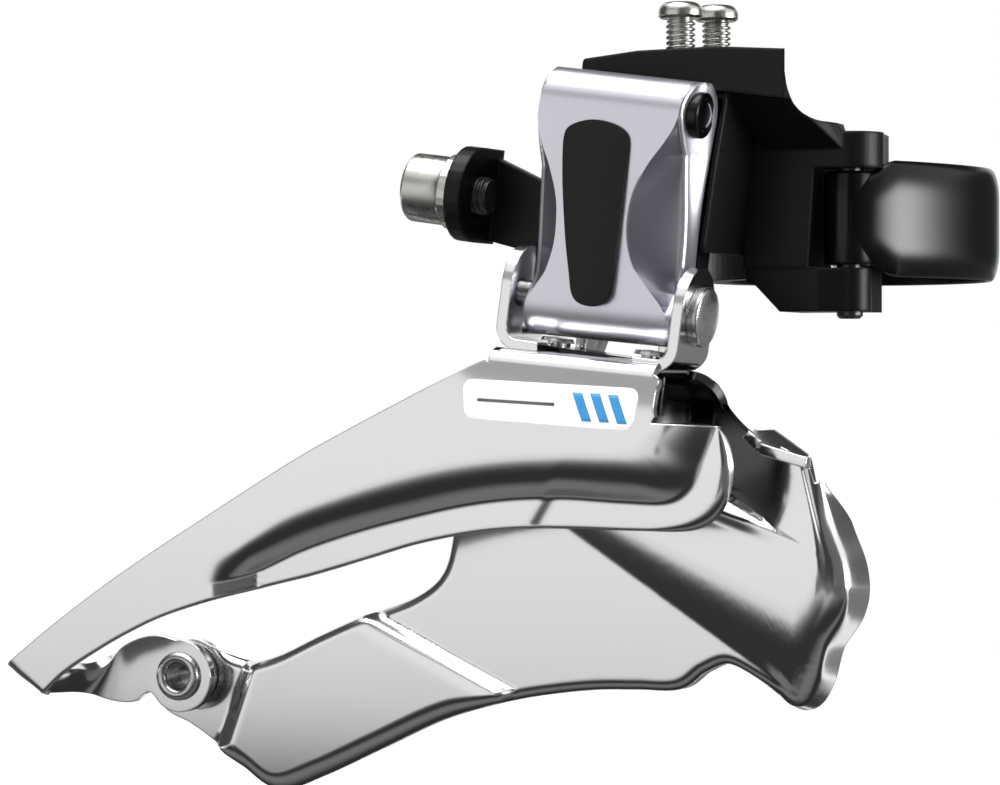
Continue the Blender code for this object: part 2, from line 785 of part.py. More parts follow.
# The cage is laid out from the outer link's lower pivot, so that it follows the link's length.
pivot_place = outer_lower.to_translation()


def from_pivot(points):
    return [(pivot_place.x + x, pivot_place.z + z) for x, z in points]


# Outer cage plate. Four guide curves run from the tail to the nose: the top edge, the start and the foot
# of the step, and the lower edge. Each is (x, z) from the outer link's lower pivot.
top_edge = [(-84.9, -48.0), (-77.8, -42.7), (-69.8, -37.2), (-62.3, -32.5), (-54.5, -27.9)]
top_edge += [(-47.3, -23.7), (-39.7, -19.4), (-32.3, -15.7), (-25.2, -12.3), (-18.3, -9.1)]
top_edge += [(-12.2, -6.7), (-5.3, -7.2), (6.5, -8.7), (9.8, -9.2), (9.75, -11.2)]
top_edge += [(9.6, -13.0), (9.8, -14.2)]
step_start = [(-82.9, -49.4), (-76.9, -44.8), (-70.2, -40.4), (-63.6, -36.6), (-56.9, -33.8)]
step_start += [(-50.3, -32.0), (-41.8, -28.2), (-33.8, -25.6), (-26.3, -23.6), (-18.8, -22.0)]
step_start += [(-11.8, -21.2), (-4.8, -20.7), (3.5, -20.1), (6.3, -19.75), (7.7, -19.0)]
step_start += [(8.5, -17.2), (9.2, -15.3)]
step_foot = [(-80.7, -50.7), (-76.1, -47.0), (-70.7, -43.4), (-64.7, -40.2), (-58.1, -37.7)]
step_foot += [(-48.9, -35.2), (-40.8, -31.8), (-32.9, -29.3), (-25.3, -27.4), (-17.8, -25.8)]
step_foot += [(-10.8, -24.9), (-3.7, -24.7), (4.1, -25.1), (10.3, -25.1), (13.5, -23.2)]
step_foot += [(15.0, -19.7), (16.7, -15.4)]
low_edge = [(-78.9, -51.8), (-75.5, -48.8), (-71.1, -46.0), (-65.5, -43.0), (-59.1, -40.3)]
low_edge += [(-47.7, -37.0), (-39.9, -35.1), (-32.1, -32.9), (-24.5, -30.7), (-16.8, -29.2)]
low_edge += [(-9.8, -28.5), (-2.7, -28.4), (5.9, -28.5), (13.5, -28.3), (17.2, -25.6)]
low_edge += [(18.4, -20.8), (17.8, -17.0)]
top_edge, step_start = from_pivot(top_edge), from_pivot(step_start)
step_foot, low_edge = from_pivot(step_foot), from_pivot(low_edge)
step_root = pivot_place.x + step_begin
plate_rows = []
stations = 48
for station in range(stations):
    share = station / (stations - 1)
    t = spline(top_edge, share)
    s = spline(step_start, share)
    b = spline(step_foot, share)
    e = spline(low_edge, share)
    run = [t, t.lerp(s, 0.5), s, s.lerp(b, 0.33), s.lerp(b, 0.67), b, e]
    sink = [0, 0, 0, 0.13, 0.55, 1, 1]
    row = []
    for place, amount in zip(run, sink):
        depth = recess_depth * amount * ease((place.x - step_root) / 6.0)
        row.append((place.x, outer_face + depth, place.y))
    plate_rows.append(row)
outer_metal = finish("bright plated steel, outer", bright_plate, 0.15, 1.0)
outer_plate = add("outer_cage_plate", shell(plate_rows, sheet), outer_lower, outer_metal)
roof_foot = roof_top - 5.2
roof_front = outer_face - pivot_place.y + 0.3
bend_centre = (roof_front + roof_bend, roof_top - roof_bend)
roof_profile = [(roof_front, roof_foot)] + arc(bend_centre, roof_bend, 180, 90, 5)
roof_profile += [(roof_inner_edge, roof_top), (roof_inner_edge, roof_top - sheet)]
roof_profile += arc(bend_centre, roof_bend - sheet, 90, 180, 5)
roof_profile += [(roof_front + sheet, roof_foot)]
join(outer_plate, slab([roof_profile], -roof_half_length + 0.2, roof_half_length - 1.2, linkage @ across))
ear_foot = roof_top - 0.9
ear_top = -link_length + 6.1
ear = rounded([(-5.2, ear_foot, 0), (5.2, ear_foot, 0), (5.2, ear_top, 4.8), (-5.2, ear_top, 4.8)], 6)
ear_hole = ring((0, -link_length), axle_hole, 20)
for low in (-ear_inside - ear_thickness, ear_inside):
    join(outer_plate, slab([ear, ear_hole], low, low + ear_thickness, linkage @ across))
cut(outer_plate, rod((-6.5, 1.0), 1.5, roof_top - 9, roof_top + 2, linkage, 20))
cut(outer_plate, rod((6.5, 1.0), 1.5, roof_top - 9, roof_top + 2, linkage, 20))
tail_lug_centre = from_pivot([tail_lug_offset])[0]
web_rows = []
web_near = tail_lug_face + 0.1
web_far = outer_face + 0.5
for reach_out, low, high in (
    (11.0, (-79.2, -51.4), (-73.5, -47.1)),
    (7.0, (-78.8, -51.6), (-73.3, -47.2)),
    (4.1, (-78.3, -51.7), (-72.7, -47.1)),
    (2.4, (-76.9, -52.1), (-71.7, -46.7)),
    (1.3, (-73.7, -52.8), (-70.1, -46.0)),
    (0.4, (-69.9, -53.2), (-68.1, -45.7)),
    (0.0, (-65.9, -53.2), (-65.5, -45.7)),
):
    y = web_near + (web_far - web_near) * reach_out / 11.0
    (low_x, low_z), (high_x, high_z) = from_pivot([low, high])
    first = Vector((low_x, y, low_z))
    last = Vector((high_x, y, high_z))
    web_rows.append([tuple(last), tuple(first.lerp(last, 0.5)), tuple(first)])
join(outer_plate, shell(web_rows, sheet))
lug_front = -tail_lug_face + 0.1
join(outer_plate, rod(tail_lug_centre, tail_lug_radius, lug_front - sheet, lug_front, facing, 32))
cut(outer_plate, rod(tail_lug_centre, 2.3 + fit_gap, 30, 45, facing))

# Inner cage plate, from a bottom edge and a top edge that run from the tail to the nose
bottom_edge = [(-69.3, -50.4), (-67.5, -53.4), (-63.9, -55.0), (-59.9, -57.4), (-55.3, -60.6)]
bottom_edge += [(-50.5, -63.2), (-44.3, -61.2), (-35.8, -57.3), (-27.4, -53.4), (-21.3, -51.4)]
bottom_edge += [(-15.7, -50.0), (-9.8, -49.0), (-4.4, -48.4), (1.2, -48.2), (6.5, -48.0)]
bottom_edge += [(9.8, -45.8), (13.5, -44.5), (17.7, -45.8), (21.3, -48.2), (23.9, -48.7)]
bottom_edge += [(25.8, -46.1), (27.1, -42.1), (27.9, -37.1), (27.3, -32.4), (26.3, -28.4)]
bottom_edge += [(25.9, -24.6)]
upper_edge = [(-69.3, -48.6), (-67.3, -45.8), (-63.3, -44.7), (-59.1, -46.6), (-54.8, -47.4)]
upper_edge += [(-50.1, -46.3), (-43.8, -43.4), (-37.0, -40.5), (-30.5, -38.0), (-26.7, -34.8)]
upper_edge += [(-25.2, -29.3), (-23.9, -19.8), (-19.9, -8.2), (-12.3, -6.7), (-3.3, -8.0)]
upper_edge += [(5.2, -9.1), (10.1, -10.0), (12.1, -13.2), (15.9, -16.2), (18.9, -17.0)]
upper_edge += [(20.7, -17.6), (22.1, -18.1), (23.3, -18.6), (24.3, -19.3), (25.0, -20.2)]
upper_edge += [(25.5, -21.4)]

bottom_edge, upper_edge = from_pivot(bottom_edge), from_pivot(upper_edge)
nose_rim = [1.2, 1.6, 2.2, 1.8, 2.1, 2.9, 2.9, 2.0, 1.3]
facet_left = from_pivot([(-59.5, -58.2), (-54.4, -47.5)])
facet_right = from_pivot([(-35.8, -40.4), (-17.3, -49.1)])
band_foot = from_pivot([(-7.0, -29.7), (23.8, -49.7)])
band_top = from_pivot([(-1.4, -26.7), (25.5, -38.6)])
hollow_edge = from_pivot([(21.4, -28.9), (22.0, -20.2)])
wedge_top = from_pivot([(12.9, -24.0), (21.4, -28.9)])
wedge_low = from_pivot([(13.2, -26.1), (21.4, -28.9)])


def inner_depth(x, z):
    # How far back the pressed sheet lies: a raised facet, a slope up to the nose and a hollow beside it.
    here = (x, z)
    facet = ease((0.4 - side_of(here, *facet_left)) / 3.4) * ease((0.8 - side_of(here, *facet_right)) / 2.0)
    below = side_of(here, *band_foot)
    above = -side_of(here, *band_top)
    width = max(below + above, 0.0)
    share = min(max(below / width, 0.0), 1.0) if below > 0 and width > 0 else 0.0
    rise = nose_slope * width * (share - 0.38 * share**2.4)
    hollow = hollow_slope * min(max(side_of(here, *hollow_edge), 0.0), 9.0)
    over_top = side_of(here, *wedge_top)
    over_low = side_of(here, *wedge_low)
    if over_top < 0:
        hollow *= ease(over_low / (over_low - over_top)) if over_low > 0 else 0.0
    hollow *= ease((x - pivot_place.x - 1.7) / 6.0) * ease((pivot_place.z - 7.8 - z) / 5.0)
    return inner_face - facet_rise * facet - rise + hollow


inner_rows = []
stations = 66
for station in range(stations):
    share = station / (stations - 1)
    t = spline(upper_edge, share)
    b = spline(bottom_edge, share)
    along = spline(bottom_edge, min(share + 0.004, 1)) - spline(bottom_edge, max(share - 0.004, 0))
    out_way = Vector((along.y, -along.x)).normalized()
    away = (b - t).normalized()
    tab = ease((t.x - pivot_place.x - 14.7) / 2.0)
    depth = inner_depth(t.x, t.y)
    row = []
    for out, ahead, flat in ((-1.8, 2.4, 1.0), (-0.3, 1.1, 0.7), (0.3, 0.25, 0.35)):
        rise = out * tab + flat * (1 - tab)
        row.append((t.x - away.x * rise, depth - ahead * tab, t.y - away.y * rise))
    for part_way in (0, 0.08, 0.17, 0.27, 0.37, 0.47, 0.57, 0.67, 0.77, 0.88, 1):
        place = t.lerp(b, part_way)
        row.append((place.x, inner_depth(place.x, place.y), place.y))
    depth = inner_depth(b.x, b.y)
    curl = ease((b.x - pivot_place.x + 60.3) / 6.0)
    reach = flange_depth + nose_flange_more * ease((b.x - pivot_place.x - 19.7) / 7.0)
    nose_share = min(max((share * (len(bottom_edge) - 1) - 17) / 8, 0), 1)
    rim = spline([(value, 0) for value in nose_rim], nose_share).x
    for out, back in ((0.58, 0.35), (0.92, 1.2), (1.0, reach)):
        row.append((b.x + out_way.x * out * rim * curl, depth + back * curl, b.y + out_way.y * out * rim))
    inner_rows.append(row)
inner_metal = finish("bright plated steel, inner", bright_plate, 0.15, 1.0)
inner_plate = add("inner_cage_plate", shell(inner_rows, sheet), outer_lower, inner_metal)
roof_gap = roof_top - sheet - seat_gap
under_roof = rounded([(-10.8, -1.6, 1.5), (9.4, -1.6, 1.5), (9.4, 7.4, 0), (-10.8, 7.4, 0)])
join(inner_plate, slab([under_roof], roof_gap - sheet, roof_gap, linkage))
neck_foot = roof_top - 5.5
neck_tie = [(-10.7, neck_foot), (9.3, neck_foot), (9.3, roof_gap - 0.2), (-10.7, roof_gap - 0.2)]
join(inner_plate, slab([neck_tie], -7.5, -6.6, linkage @ facing))
lug = [(-6.4, -13.0), (-4.2, -13.0), (2.2, -2.8)]
lug += arc((0, 0), inner_ear_radius, -30, 120, 10)
lug += [(-6.4, -1.0)]
for low in (-6.5, 5.0):
    join(inner_plate, slab([lug], low, low + 1.5, inner_lower @ across))
cut(inner_plate, rod((0, 0), axle_hole, -14, 14, inner_lower @ across))
cut(inner_plate, rod((-6.5, 1.0), 1.5, roof_top - 9, roof_top + 2, linkage, 20))
cut(inner_plate, rod((6.5, 1.0), 1.5, roof_top - 9, roof_top + 2, linkage, 20))
cut(inner_plate, rod(tail_lug_centre, 2.3 + fit_gap, 25, 45, facing))

# Rivets, spacer and lower axles of the cage
for name, along in (("roof_rivet_rear", -6.5), ("roof_rivet_front", 6.5)):
    top = roof_top + seat_gap
    foot = roof_gap - sheet - seat_gap
    frame = linkage @ Matrix.Translation((along, 1.0, 0))
    profile = [(0, foot - 0.7), (2.0, foot - 0.6), (2.2, foot), (1.2, foot), (1.2, top), (2.2, top)]
    profile += [(2.0, top + 0.5), (0, top + 0.7)]
    add(name, turned(profile, frame, 20), frame, finish(name + " steel", (0.6, 0.6, 0.6), 0.3, 1.0))
tail_frame = Matrix.Translation((tail_lug_centre[0], 0, tail_lug_centre[1])) @ facing
lug_back = -tail_lug_face - sheet + 0.1
spacer_low = -inner_face + seat_gap
spacer_bore = ring((0, 0), 2.3 + fit_gap, 24)
add(
    "tail_spacer",
    slab([ring((0, 0), 4.2, 32), spacer_bore], spacer_low, lug_back - seat_gap, tail_frame),
    tail_frame,
    finish("steel spacer", dark_steel, 0.4, 1.0),
)
rivet_top = -tail_lug_face + 0.1 + seat_gap
rivet_foot = -inner_face - sheet - seat_gap
rivet_profile = [(1.7, rivet_foot - 0.6), (3.0, rivet_foot - 0.5), (3.2, rivet_foot), (2.3, rivet_foot)]
rivet_profile += [(2.3, rivet_top), (3.2, rivet_top), (3.2, rivet_top + 0.3), (2.7, rivet_top + 0.7)]
rivet_profile += [(2.1, rivet_top + 0.6), (1.7, rivet_top - 0.1), (1.7, rivet_foot - 0.6)]
rivet_mesh = turned(rivet_profile, tail_frame, 24)
weld(rivet_mesh)
add("tail_rivet", rivet_mesh, tail_frame, finish("hollow steel rivet", (0.6, 0.6, 0.6), 0.25, 1.0))
ear_seat = ear_inside + ear_thickness + seat_gap
axle(
    "outer_lower_axle",
    outer_lower,
    [
        (2.2, -ear_seat - 0.8),
        (2.5, -ear_seat - 0.4),
        (2.5, -ear_seat),
        (axle_radius, -ear_seat),
        (axle_radius, ear_seat),
        (3.7, ear_seat),
        (3.7, ear_seat + 0.4),
        (3.0, ear_seat + 0.9),
    ],
    zinc,
    0.25,
)
axle(
    "inner_lower_axle",
    inner_lower,
    [
        (2.2, -inner_seat - 0.6),
        (2.5, -inner_seat),
        (axle_radius, -inner_seat),
        (axle_radius, inner_seat),
        (2.5, inner_seat),
        (2.2, inner_seat + 0.6),
    ],
    zinc,
    0.3,
)
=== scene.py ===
import math

import bmesh
import bpy
from mathutils import Matrix, Vector


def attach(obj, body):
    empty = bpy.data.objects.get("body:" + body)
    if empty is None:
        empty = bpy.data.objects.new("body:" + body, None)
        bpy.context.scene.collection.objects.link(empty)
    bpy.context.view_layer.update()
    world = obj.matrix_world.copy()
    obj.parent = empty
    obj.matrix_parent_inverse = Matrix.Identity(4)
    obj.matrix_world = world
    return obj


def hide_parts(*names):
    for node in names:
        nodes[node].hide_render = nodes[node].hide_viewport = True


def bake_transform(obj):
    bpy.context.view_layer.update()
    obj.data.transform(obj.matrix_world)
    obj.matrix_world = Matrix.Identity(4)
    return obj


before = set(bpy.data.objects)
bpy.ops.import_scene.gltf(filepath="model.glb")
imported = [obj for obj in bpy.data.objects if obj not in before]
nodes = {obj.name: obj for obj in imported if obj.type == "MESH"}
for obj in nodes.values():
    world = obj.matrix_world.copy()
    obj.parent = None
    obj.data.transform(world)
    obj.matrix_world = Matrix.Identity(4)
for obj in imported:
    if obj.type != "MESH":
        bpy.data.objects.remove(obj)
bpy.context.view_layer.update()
scene = bpy.context.scene
scene.view_settings.view_transform = "Standard"
mm = 0.001  # sizes below are in millimetres
print("frame loaded with", len(nodes), "nodes")


# colour and node helpers
def linear(hexText):
    out = []
    for start in (0, 2, 4):
        value = int(hexText[start : start + 2], 16) / 255
        out.append(value / 12.92 if value <= 0.04045 else ((value + 0.055) / 1.055) ** 2.4)
    return (*out, 1.0)


def addNode(tree, kind, settings=None, links=None):
    made = tree.nodes.new(kind)
    for key, value in (settings or {}).items():
        if key in made.inputs:
            made.inputs[key].default_value = value
        else:
            setattr(made, key, value)
    for key, socket in (links or {}).items():
        tree.links.new(socket, made.inputs[key])
    return made


# a surface whose roughness wanders from low to high over spots of spotSize; where an edge radius is given,
# edges are broken by that much and the surface has a grain of the given height
def surface(name, colour, spotSize, low, high, edge=0.0, grain=0.0, sockets=None):
    made = bpy.data.materials.new(name)
    made.use_nodes = True
    tree = made.node_tree
    shader = tree.nodes["Principled BSDF"]
    settings = {"Base Color": linear(colour), "Roughness": (low + high) / 2, **(sockets or {})}
    for key, value in settings.items():
        shader.inputs[key].default_value = value
    made.diffuse_color = linear(colour)
    place = addNode(tree, "ShaderNodeTexCoord")
    noise, wander = {"Scale": 1 / (spotSize * mm), "Detail": 3.0}, {"To Min": low, "To Max": high}
    spots = addNode(tree, "ShaderNodeTexNoise", noise, {"Vector": place.outputs["Object"]})
    span = addNode(tree, "ShaderNodeMapRange", wander, {"Value": spots.outputs["Fac"]})
    tree.links.new(span.outputs["Result"], shader.inputs["Roughness"])
    if edge:
        bevel = addNode(tree, "ShaderNodeBevel", {"samples": 4, "Radius": edge * mm})
        links = {"Height": spots.outputs["Fac"], "Normal": bevel.outputs["Normal"]}
        bump = addNode(tree, "ShaderNodeBump", {"Strength": 0.35, "Distance": grain * mm}, links)
        tree.links.new(bump.outputs["Normal"], shader.inputs["Normal"])
    return made


metal = {"Metallic": 1.0}
dull, glossy = {"Specular IOR Level": 0.2}, {"Specular IOR Level": 0.3}
# bright plated steel sheet, pressed and polished: reads as a soft mirror
plated = surface("bright plated pressed steel", "e9e9ea", 6.0, 0.13, 0.17, 0.3, 0.0, metal)
# the same plating on the inner plate, with painted shade: its neck under the roof is painted dark
platedNeckPaintedShade = surface("bright plated steel with painted shade on its neck", "e9e9ea", 6.0, 0.13, 0.17, 0.3, 0.0, metal)
# painted shade: the base colour turns from the plating's white to dark grey as z climbs from -28.5 mm to
# -24.5 mm
neck = {"bright": -28.5, "dark": -24.5, "shade": "2c2c2d"}
tree = platedNeckPaintedShade.node_tree
place = addNode(tree, "ShaderNodeTexCoord")
parts = addNode(tree, "ShaderNodeSeparateXYZ", {}, {0: place.outputs["Object"]})
span = {"From Min": neck["bright"] * mm, "From Max": neck["dark"] * mm, "interpolation_type": "SMOOTHSTEP"}
height = addNode(tree, "ShaderNodeMapRange", span, {"Value": parts.outputs["Z"]})
tint = addNode(tree, "ShaderNodeMix", {"data_type": "RGBA"}, {0: height.outputs["Result"]})
tint.inputs[6].default_value = linear("e9e9ea")
tint.inputs[7].default_value = linear(neck["shade"])
tree.links.new(tint.outputs[2], tree.nodes["Principled BSDF"].inputs["Base Color"])
# a plate's back: rougher, with its colour painted dark as shade, so that what faces it mirrors a shade
platedBackPaintedShade = surface("rougher plated steel painted dark as shade", "68686a", 3.0, 0.3, 0.38, sockets=metal)
# plating on small turned pieces, a little duller from the barrel
platedSmall = surface("barrel plated steel", "cfcfcd", 0.8, 0.2, 0.34, 0.2, 0.02, metal)
# zinc plated screw steel: pale grey with cloudy patches
zincSteel = surface("zinc plated steel", "c9c8c4", 0.9, 0.2, 0.36, 0.12, 0.02, metal)
# die cast alloy under satin black paint: nearly no gloss, soft edges, and a grain of 0.35 mm that just shows
blackCast = surface("satin black painted alloy", "0a0a0b", 0.35, 0.33, 0.4, 0.6, 0.01, dull)
# steel strap under gloss black paint: one clear window of light
blackGloss = surface("gloss black painted steel", "050505", 3.0, 0.2, 0.24, 0.3, 0.0, glossy)
# black oxide on turned steel: dark with a thin shine at the edges
blackSteel = surface("black oxide steel", "1d1d1e", 0.5, 0.26, 0.36, 0.15, 0.015, {"Specular IOR Level": 0.6})
# forged alloy under silver paint with a lilac cast: flat bright faces
paint = {"Metallic": 0.9, "Coat Weight": 0.2, "Coat Roughness": 0.12}
silverPaint = surface("lilac silver painted alloy", "d3d1da", 0.3, 0.28, 0.33, sockets=paint)
# the same paint, painted dark as shade for the hollows: a darker grey-violet with a clear edge against the
# face
hollowShadeCoat = {"Metallic": 0.9, "Coat Weight": 0.1, "Coat Roughness": 0.12}
paintedHollowShade = surface("lilac silver paint painted dark as shade in the hollows", "9c98a4", 0.3, 0.28, 0.33, sockets=hollowShadeCoat)
# anodised plate: dull black
badgeBlack = surface("black anodised plate", "121213", 0.4, 0.4, 0.46, sockets=dull)
# vinyl label and its inks: flat colours with a faint sheen
labelWhite = surface("white vinyl label", "eeeeef", 1.5, 0.35, 0.42)
labelBlue = surface("blue label ink", "2f8bc4", 1.5, 0.35, 0.42)
labelGrey = surface("grey label ink", "55575b", 1.5, 0.35, 0.42)
# nylon bush: a dull black, and spring wire: a grey drawn steel
nylonBlack = surface("black nylon", "1a1a1b", 0.6, 0.46, 0.54)
springSteel = surface("spring steel wire", "8d8d90", 0.6, 0.26, 0.34, sockets=metal)
print("materials made")

# frames of the linkage, which leans about Y
linkage = {"pivot": (-15.2, -42.0, 13.6), "lean": 8.0, "length": 25.0, "innerAcross": 13.0, "innerDrop": -0.5}
linkFrame = Matrix.Translation(linkage["pivot"]) @ Matrix.Rotation(math.radians(linkage["lean"]), 4, "Y")
innerFrame = linkFrame @ Matrix.Translation((0, linkage["innerAcross"], linkage["innerDrop"]))
innerLowFrame = innerFrame @ Matrix.Translation((0, 0, -linkage["length"]))
linkInverse = linkFrame.inverted()
across = Matrix(((0, 0, 1, 0), (1, 0, 0, 0), (0, 1, 0, 0), (0, 0, 0, 1)))  # outline in y, z
facing = Matrix(((1, 0, 0, 0), (0, 0, -1, 0), (0, 1, 0, 0), (0, 0, 0, 1)))  # outline in x, z


# shape helpers
def ease(value):
    value = min(max(value, 0.0), 1.0)
    return value * value * (3 - 2 * value)


# a smooth curve through points, at a share of its length
def guide(points, share):
    place = share * (len(points) - 1)
    index = min(int(place), len(points) - 2)
    local = place - index
    before = Vector(points[max(index - 1, 0)])
    first = Vector(points[index])
    second = Vector(points[index + 1])
    after = Vector(points[min(index + 2, len(points) - 1)])
    bend = 2 * first + (second - before) * local
    bend += (2 * before - 5 * first + 4 * second - after) * local**2
    bend += (3 * first - before - 3 * second + after) * local**3
    return bend / 2


def heading(points, share, gap=0.004):
    return guide(points, min(share + gap, 1.0)) - guide(points, max(share - gap, 0.0))


# how far a point lies to the left of a line
def sideOf(point, first, second):
    along = (second[0] - first[0], second[1] - first[1])
    length = math.hypot(*along)
    return (along[0] * (point[1] - first[1]) - along[1] * (point[0] - first[0])) / length


# a pressed form's profile: the running sum of its slope, read back as a share of its height
def tableOf(slope, count):
    table = [0.0]
    for step in range(count):
        table.append(table[-1] + slope((step + 0.5) / count))
    return table


def tableAt(table, share):
    place = min(max(share, 0.0), 1.0) * (len(table) - 1)
    index = min(int(place), len(table) - 2)
    return (table[index] + (table[index + 1] - table[index]) * (place - index)) / table[-1]


def arc(centre, radius, start, end, steps):
    out = []
    for step in range(steps + 1):
        turn = math.radians(start + (end - start) * step / steps)
        out.append((centre[0] + radius * math.cos(turn), centre[1] + radius * math.sin(turn)))
    return out


def ring(centre, radius, steps):
    return arc(centre, radius, 0, 360 - 360 / steps, steps - 1)


def smoothLoop(points, steps):
    out = []
    count = len(points)
    for index in range(count):
        near = [points[(index + shift) % count] for shift in (-1, 0, 1, 2)]
        for step in range(steps):
            place = guide(near, (1 + step / steps) / 3)
            out.append((place.x, place.y))
    return out


# an outline of corners, each with its radius
def rounded(corners, steps=8):
    out = []
    count = len(corners)
    for index in range(count):
        here = Vector(corners[index][:2])
        radius = corners[index][2]
        if radius == 0:
            out.append(tuple(here))
            continue
        back = (Vector(corners[index - 1][:2]) - here).normalized()
        ahead = (Vector(corners[(index + 1) % count][:2]) - here).normalized()
        half = back.angle(ahead) / 2
        centre = here + (back + ahead).normalized() * (radius / math.sin(half))
        first = here + back * (radius / math.tan(half)) - centre
        last = here + ahead * (radius / math.tan(half)) - centre
        start = math.atan2(first.y, first.x)
        sweep = (math.atan2(last.y, last.x) - start + math.pi) % (2 * math.pi) - math.pi
        for step in range(steps + 1):
            turn = start + sweep * step / steps
            out.append((centre.x + radius * math.cos(turn), centre.y + radius * math.sin(turn)))
    return out


# mesh helpers
def addObject(name, data):
    made = bpy.data.objects.new(name, data)
    scene.collection.objects.link(made)
    return made


def meshFromBm(work, name):
    mesh = bpy.data.meshes.new(name)
    work.to_mesh(mesh)
    work.free()
    return mesh


def meshFromCurve(name, curve):
    holder = addObject(name, curve)
    graph = bpy.context.evaluated_depsgraph_get()
    mesh = bpy.data.meshes.new_from_object(holder.evaluated_get(graph))
    bpy.data.objects.remove(holder, do_unlink=True)
    return mesh


def joinMeshes(name, meshes, turnOut=False):
    work = bmesh.new()
    for mesh in meshes:
        work.from_mesh(mesh)
    if turnOut:
        bmesh.ops.recalc_face_normals(work, faces=work.faces)
    return meshFromBm(work, name)


# open sheets of rows, welded where they meet
def gridMesh(name, grids, weldAt=0.002):
    work = bmesh.new()
    for rows in grids:
        made = [[work.verts.new(point) for point in row] for row in rows]
        for near, far in zip(made, made[1:]):
            for index in range(len(near) - 1):
                work.faces.new((near[index], near[index + 1], far[index + 1], far[index]))
    bmesh.ops.remove_doubles(work, verts=work.verts, dist=weldAt)
    return meshFromBm(work, name)


# closed sections joined into one skin, with a face on each end
def skinMesh(name, sections):
    work = bmesh.new()
    made = [[work.verts.new(point) for point in section] for section in sections]
    for near, far in zip(made, made[1:]):
        for step in range(len(near)):
            after = (step + 1) % len(near)
            work.faces.new((near[step], near[after], far[after], far[step]))
    work.faces.new(made[0])
    work.faces.new(made[-1])
    bmesh.ops.recalc_face_normals(work, faces=work.faces)
    return meshFromBm(work, name)


# a profile of radius and height, turned about its axis
def lathe(name, profile, place, steps=64):
    work = bmesh.new()
    rows = []
    for radius, height in profile:
        count = 1 if radius == 0 else steps
        row = []
        for step in range(count):
            turn = 2 * math.pi * step / steps
            row.append(work.verts.new((radius * math.cos(turn), radius * math.sin(turn), height)))
        rows.append(row)
    for lower, upper in zip(rows, rows[1:]):
        for step in range(steps):
            after = (step + 1) % steps
            if len(lower) == 1:
                work.faces.new((lower[0], upper[after], upper[step]))
            elif len(upper) == 1:
                work.faces.new((lower[step], lower[after], upper[0]))
            else:
                work.faces.new((lower[step], lower[after], upper[after], upper[step]))
    bmesh.ops.remove_doubles(work, verts=work.verts, dist=0.0005)
    bmesh.ops.recalc_face_normals(work, faces=work.faces)
    mesh = meshFromBm(work, name)
    mesh.transform(place)
    return mesh


# a flat outline with holes, given its thickness and softly broken edges
def slab(name, loops, low, high, place, edge=0.15):
    curve = bpy.data.curves.new(name, "CURVE")
    curve.dimensions = "2D"
    curve.fill_mode = "BOTH"
    curve.extrude = (high - low) / 2 - edge
    curve.bevel_depth = edge
    curve.bevel_resolution = 2
    curve.offset = -edge
    for loop in loops:
        spline = curve.splines.new("POLY")
        spline.points.add(len(loop) - 1)
        spline.use_cyclic_u = True
        for point, (u, v) in zip(spline.points, loop):
            point.co = (u, v, 0, 1)
    work = bmesh.new()
    work.from_mesh(meshFromCurve(name, curve))
    bmesh.ops.remove_doubles(work, verts=work.verts, dist=0.0005)
    bmesh.ops.recalc_face_normals(work, faces=work.faces)
    mesh = meshFromBm(work, name)
    mesh.transform(place @ Matrix.Translation((0, 0, (low + high) / 2)))
    return mesh


# smooth shaded, with edges sharper than the angle left sharp
def shadeSmooth(mesh, angle):
    mesh.shade_smooth()
    mesh.set_sharp_from_angle(angle=math.radians(angle))


def dress(mesh, material, angle):
    mesh.materials.clear()
    mesh.materials.append(material)
    shadeSmooth(mesh, angle)


# a shown piece on its body, in place of the nodes it stands for
def piece(name, mesh, body, material, standsFor=(), angle=35):
    mesh.transform(Matrix.Scale(mm, 4))
    dress(mesh, material, angle)
    made = addObject(name, mesh)
    if standsFor:
        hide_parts(*standsFor)
    if body:
        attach(made, body)
    return made


# applies what the modifiers do
def settle(made, angle=40):
    graph = bpy.context.evaluated_depsgraph_get()
    old = made.data
    made.data = bpy.data.meshes.new_from_object(made.evaluated_get(graph))
    made.modifiers.clear()
    bpy.data.meshes.remove(old)
    shadeSmooth(made.data, angle)


def thicken(made, thickness):
    thick = made.modifiers.new("Sheet", "SOLIDIFY")
    thick.thickness = thickness * mm
    thick.offset = -1
    return thick


def addThickness(made, thickness, back=None):
    thick = thicken(made, thickness)
    if back:
        made.data.materials.append(back)
        thick.material_offset = 1
    settle(made)


# a pressed sheet from its rows
def sheetPiece(name, grids, material, standsFor, thickness, back=None):
    made = piece(name, gridMesh(name, grids), "cage", material, standsFor, 50)
    addThickness(made, thickness, back)
    return made


def cutBy(made, mesh):
    mesh.transform(Matrix.Scale(mm, 4))
    tool = addObject(made.name + "Tool", mesh)
    step = made.modifiers.new("Cut", "BOOLEAN")
    step.operation = "DIFFERENCE"
    step.solver = "EXACT"
    step.object = tool
    settle(made)
    bpy.data.objects.remove(tool, do_unlink=True)


# cuts a mesh that isn't a piece yet and is still in millimetres
def cutMesh(mesh, tools):
    holder = addObject("holder", mesh)
    for tool in tools:
        tool.transform(Matrix.Scale(1 / mm, 4))
        cutBy(holder, tool)
    cut = holder.data
    bpy.data.objects.remove(holder, do_unlink=True)
    return cut


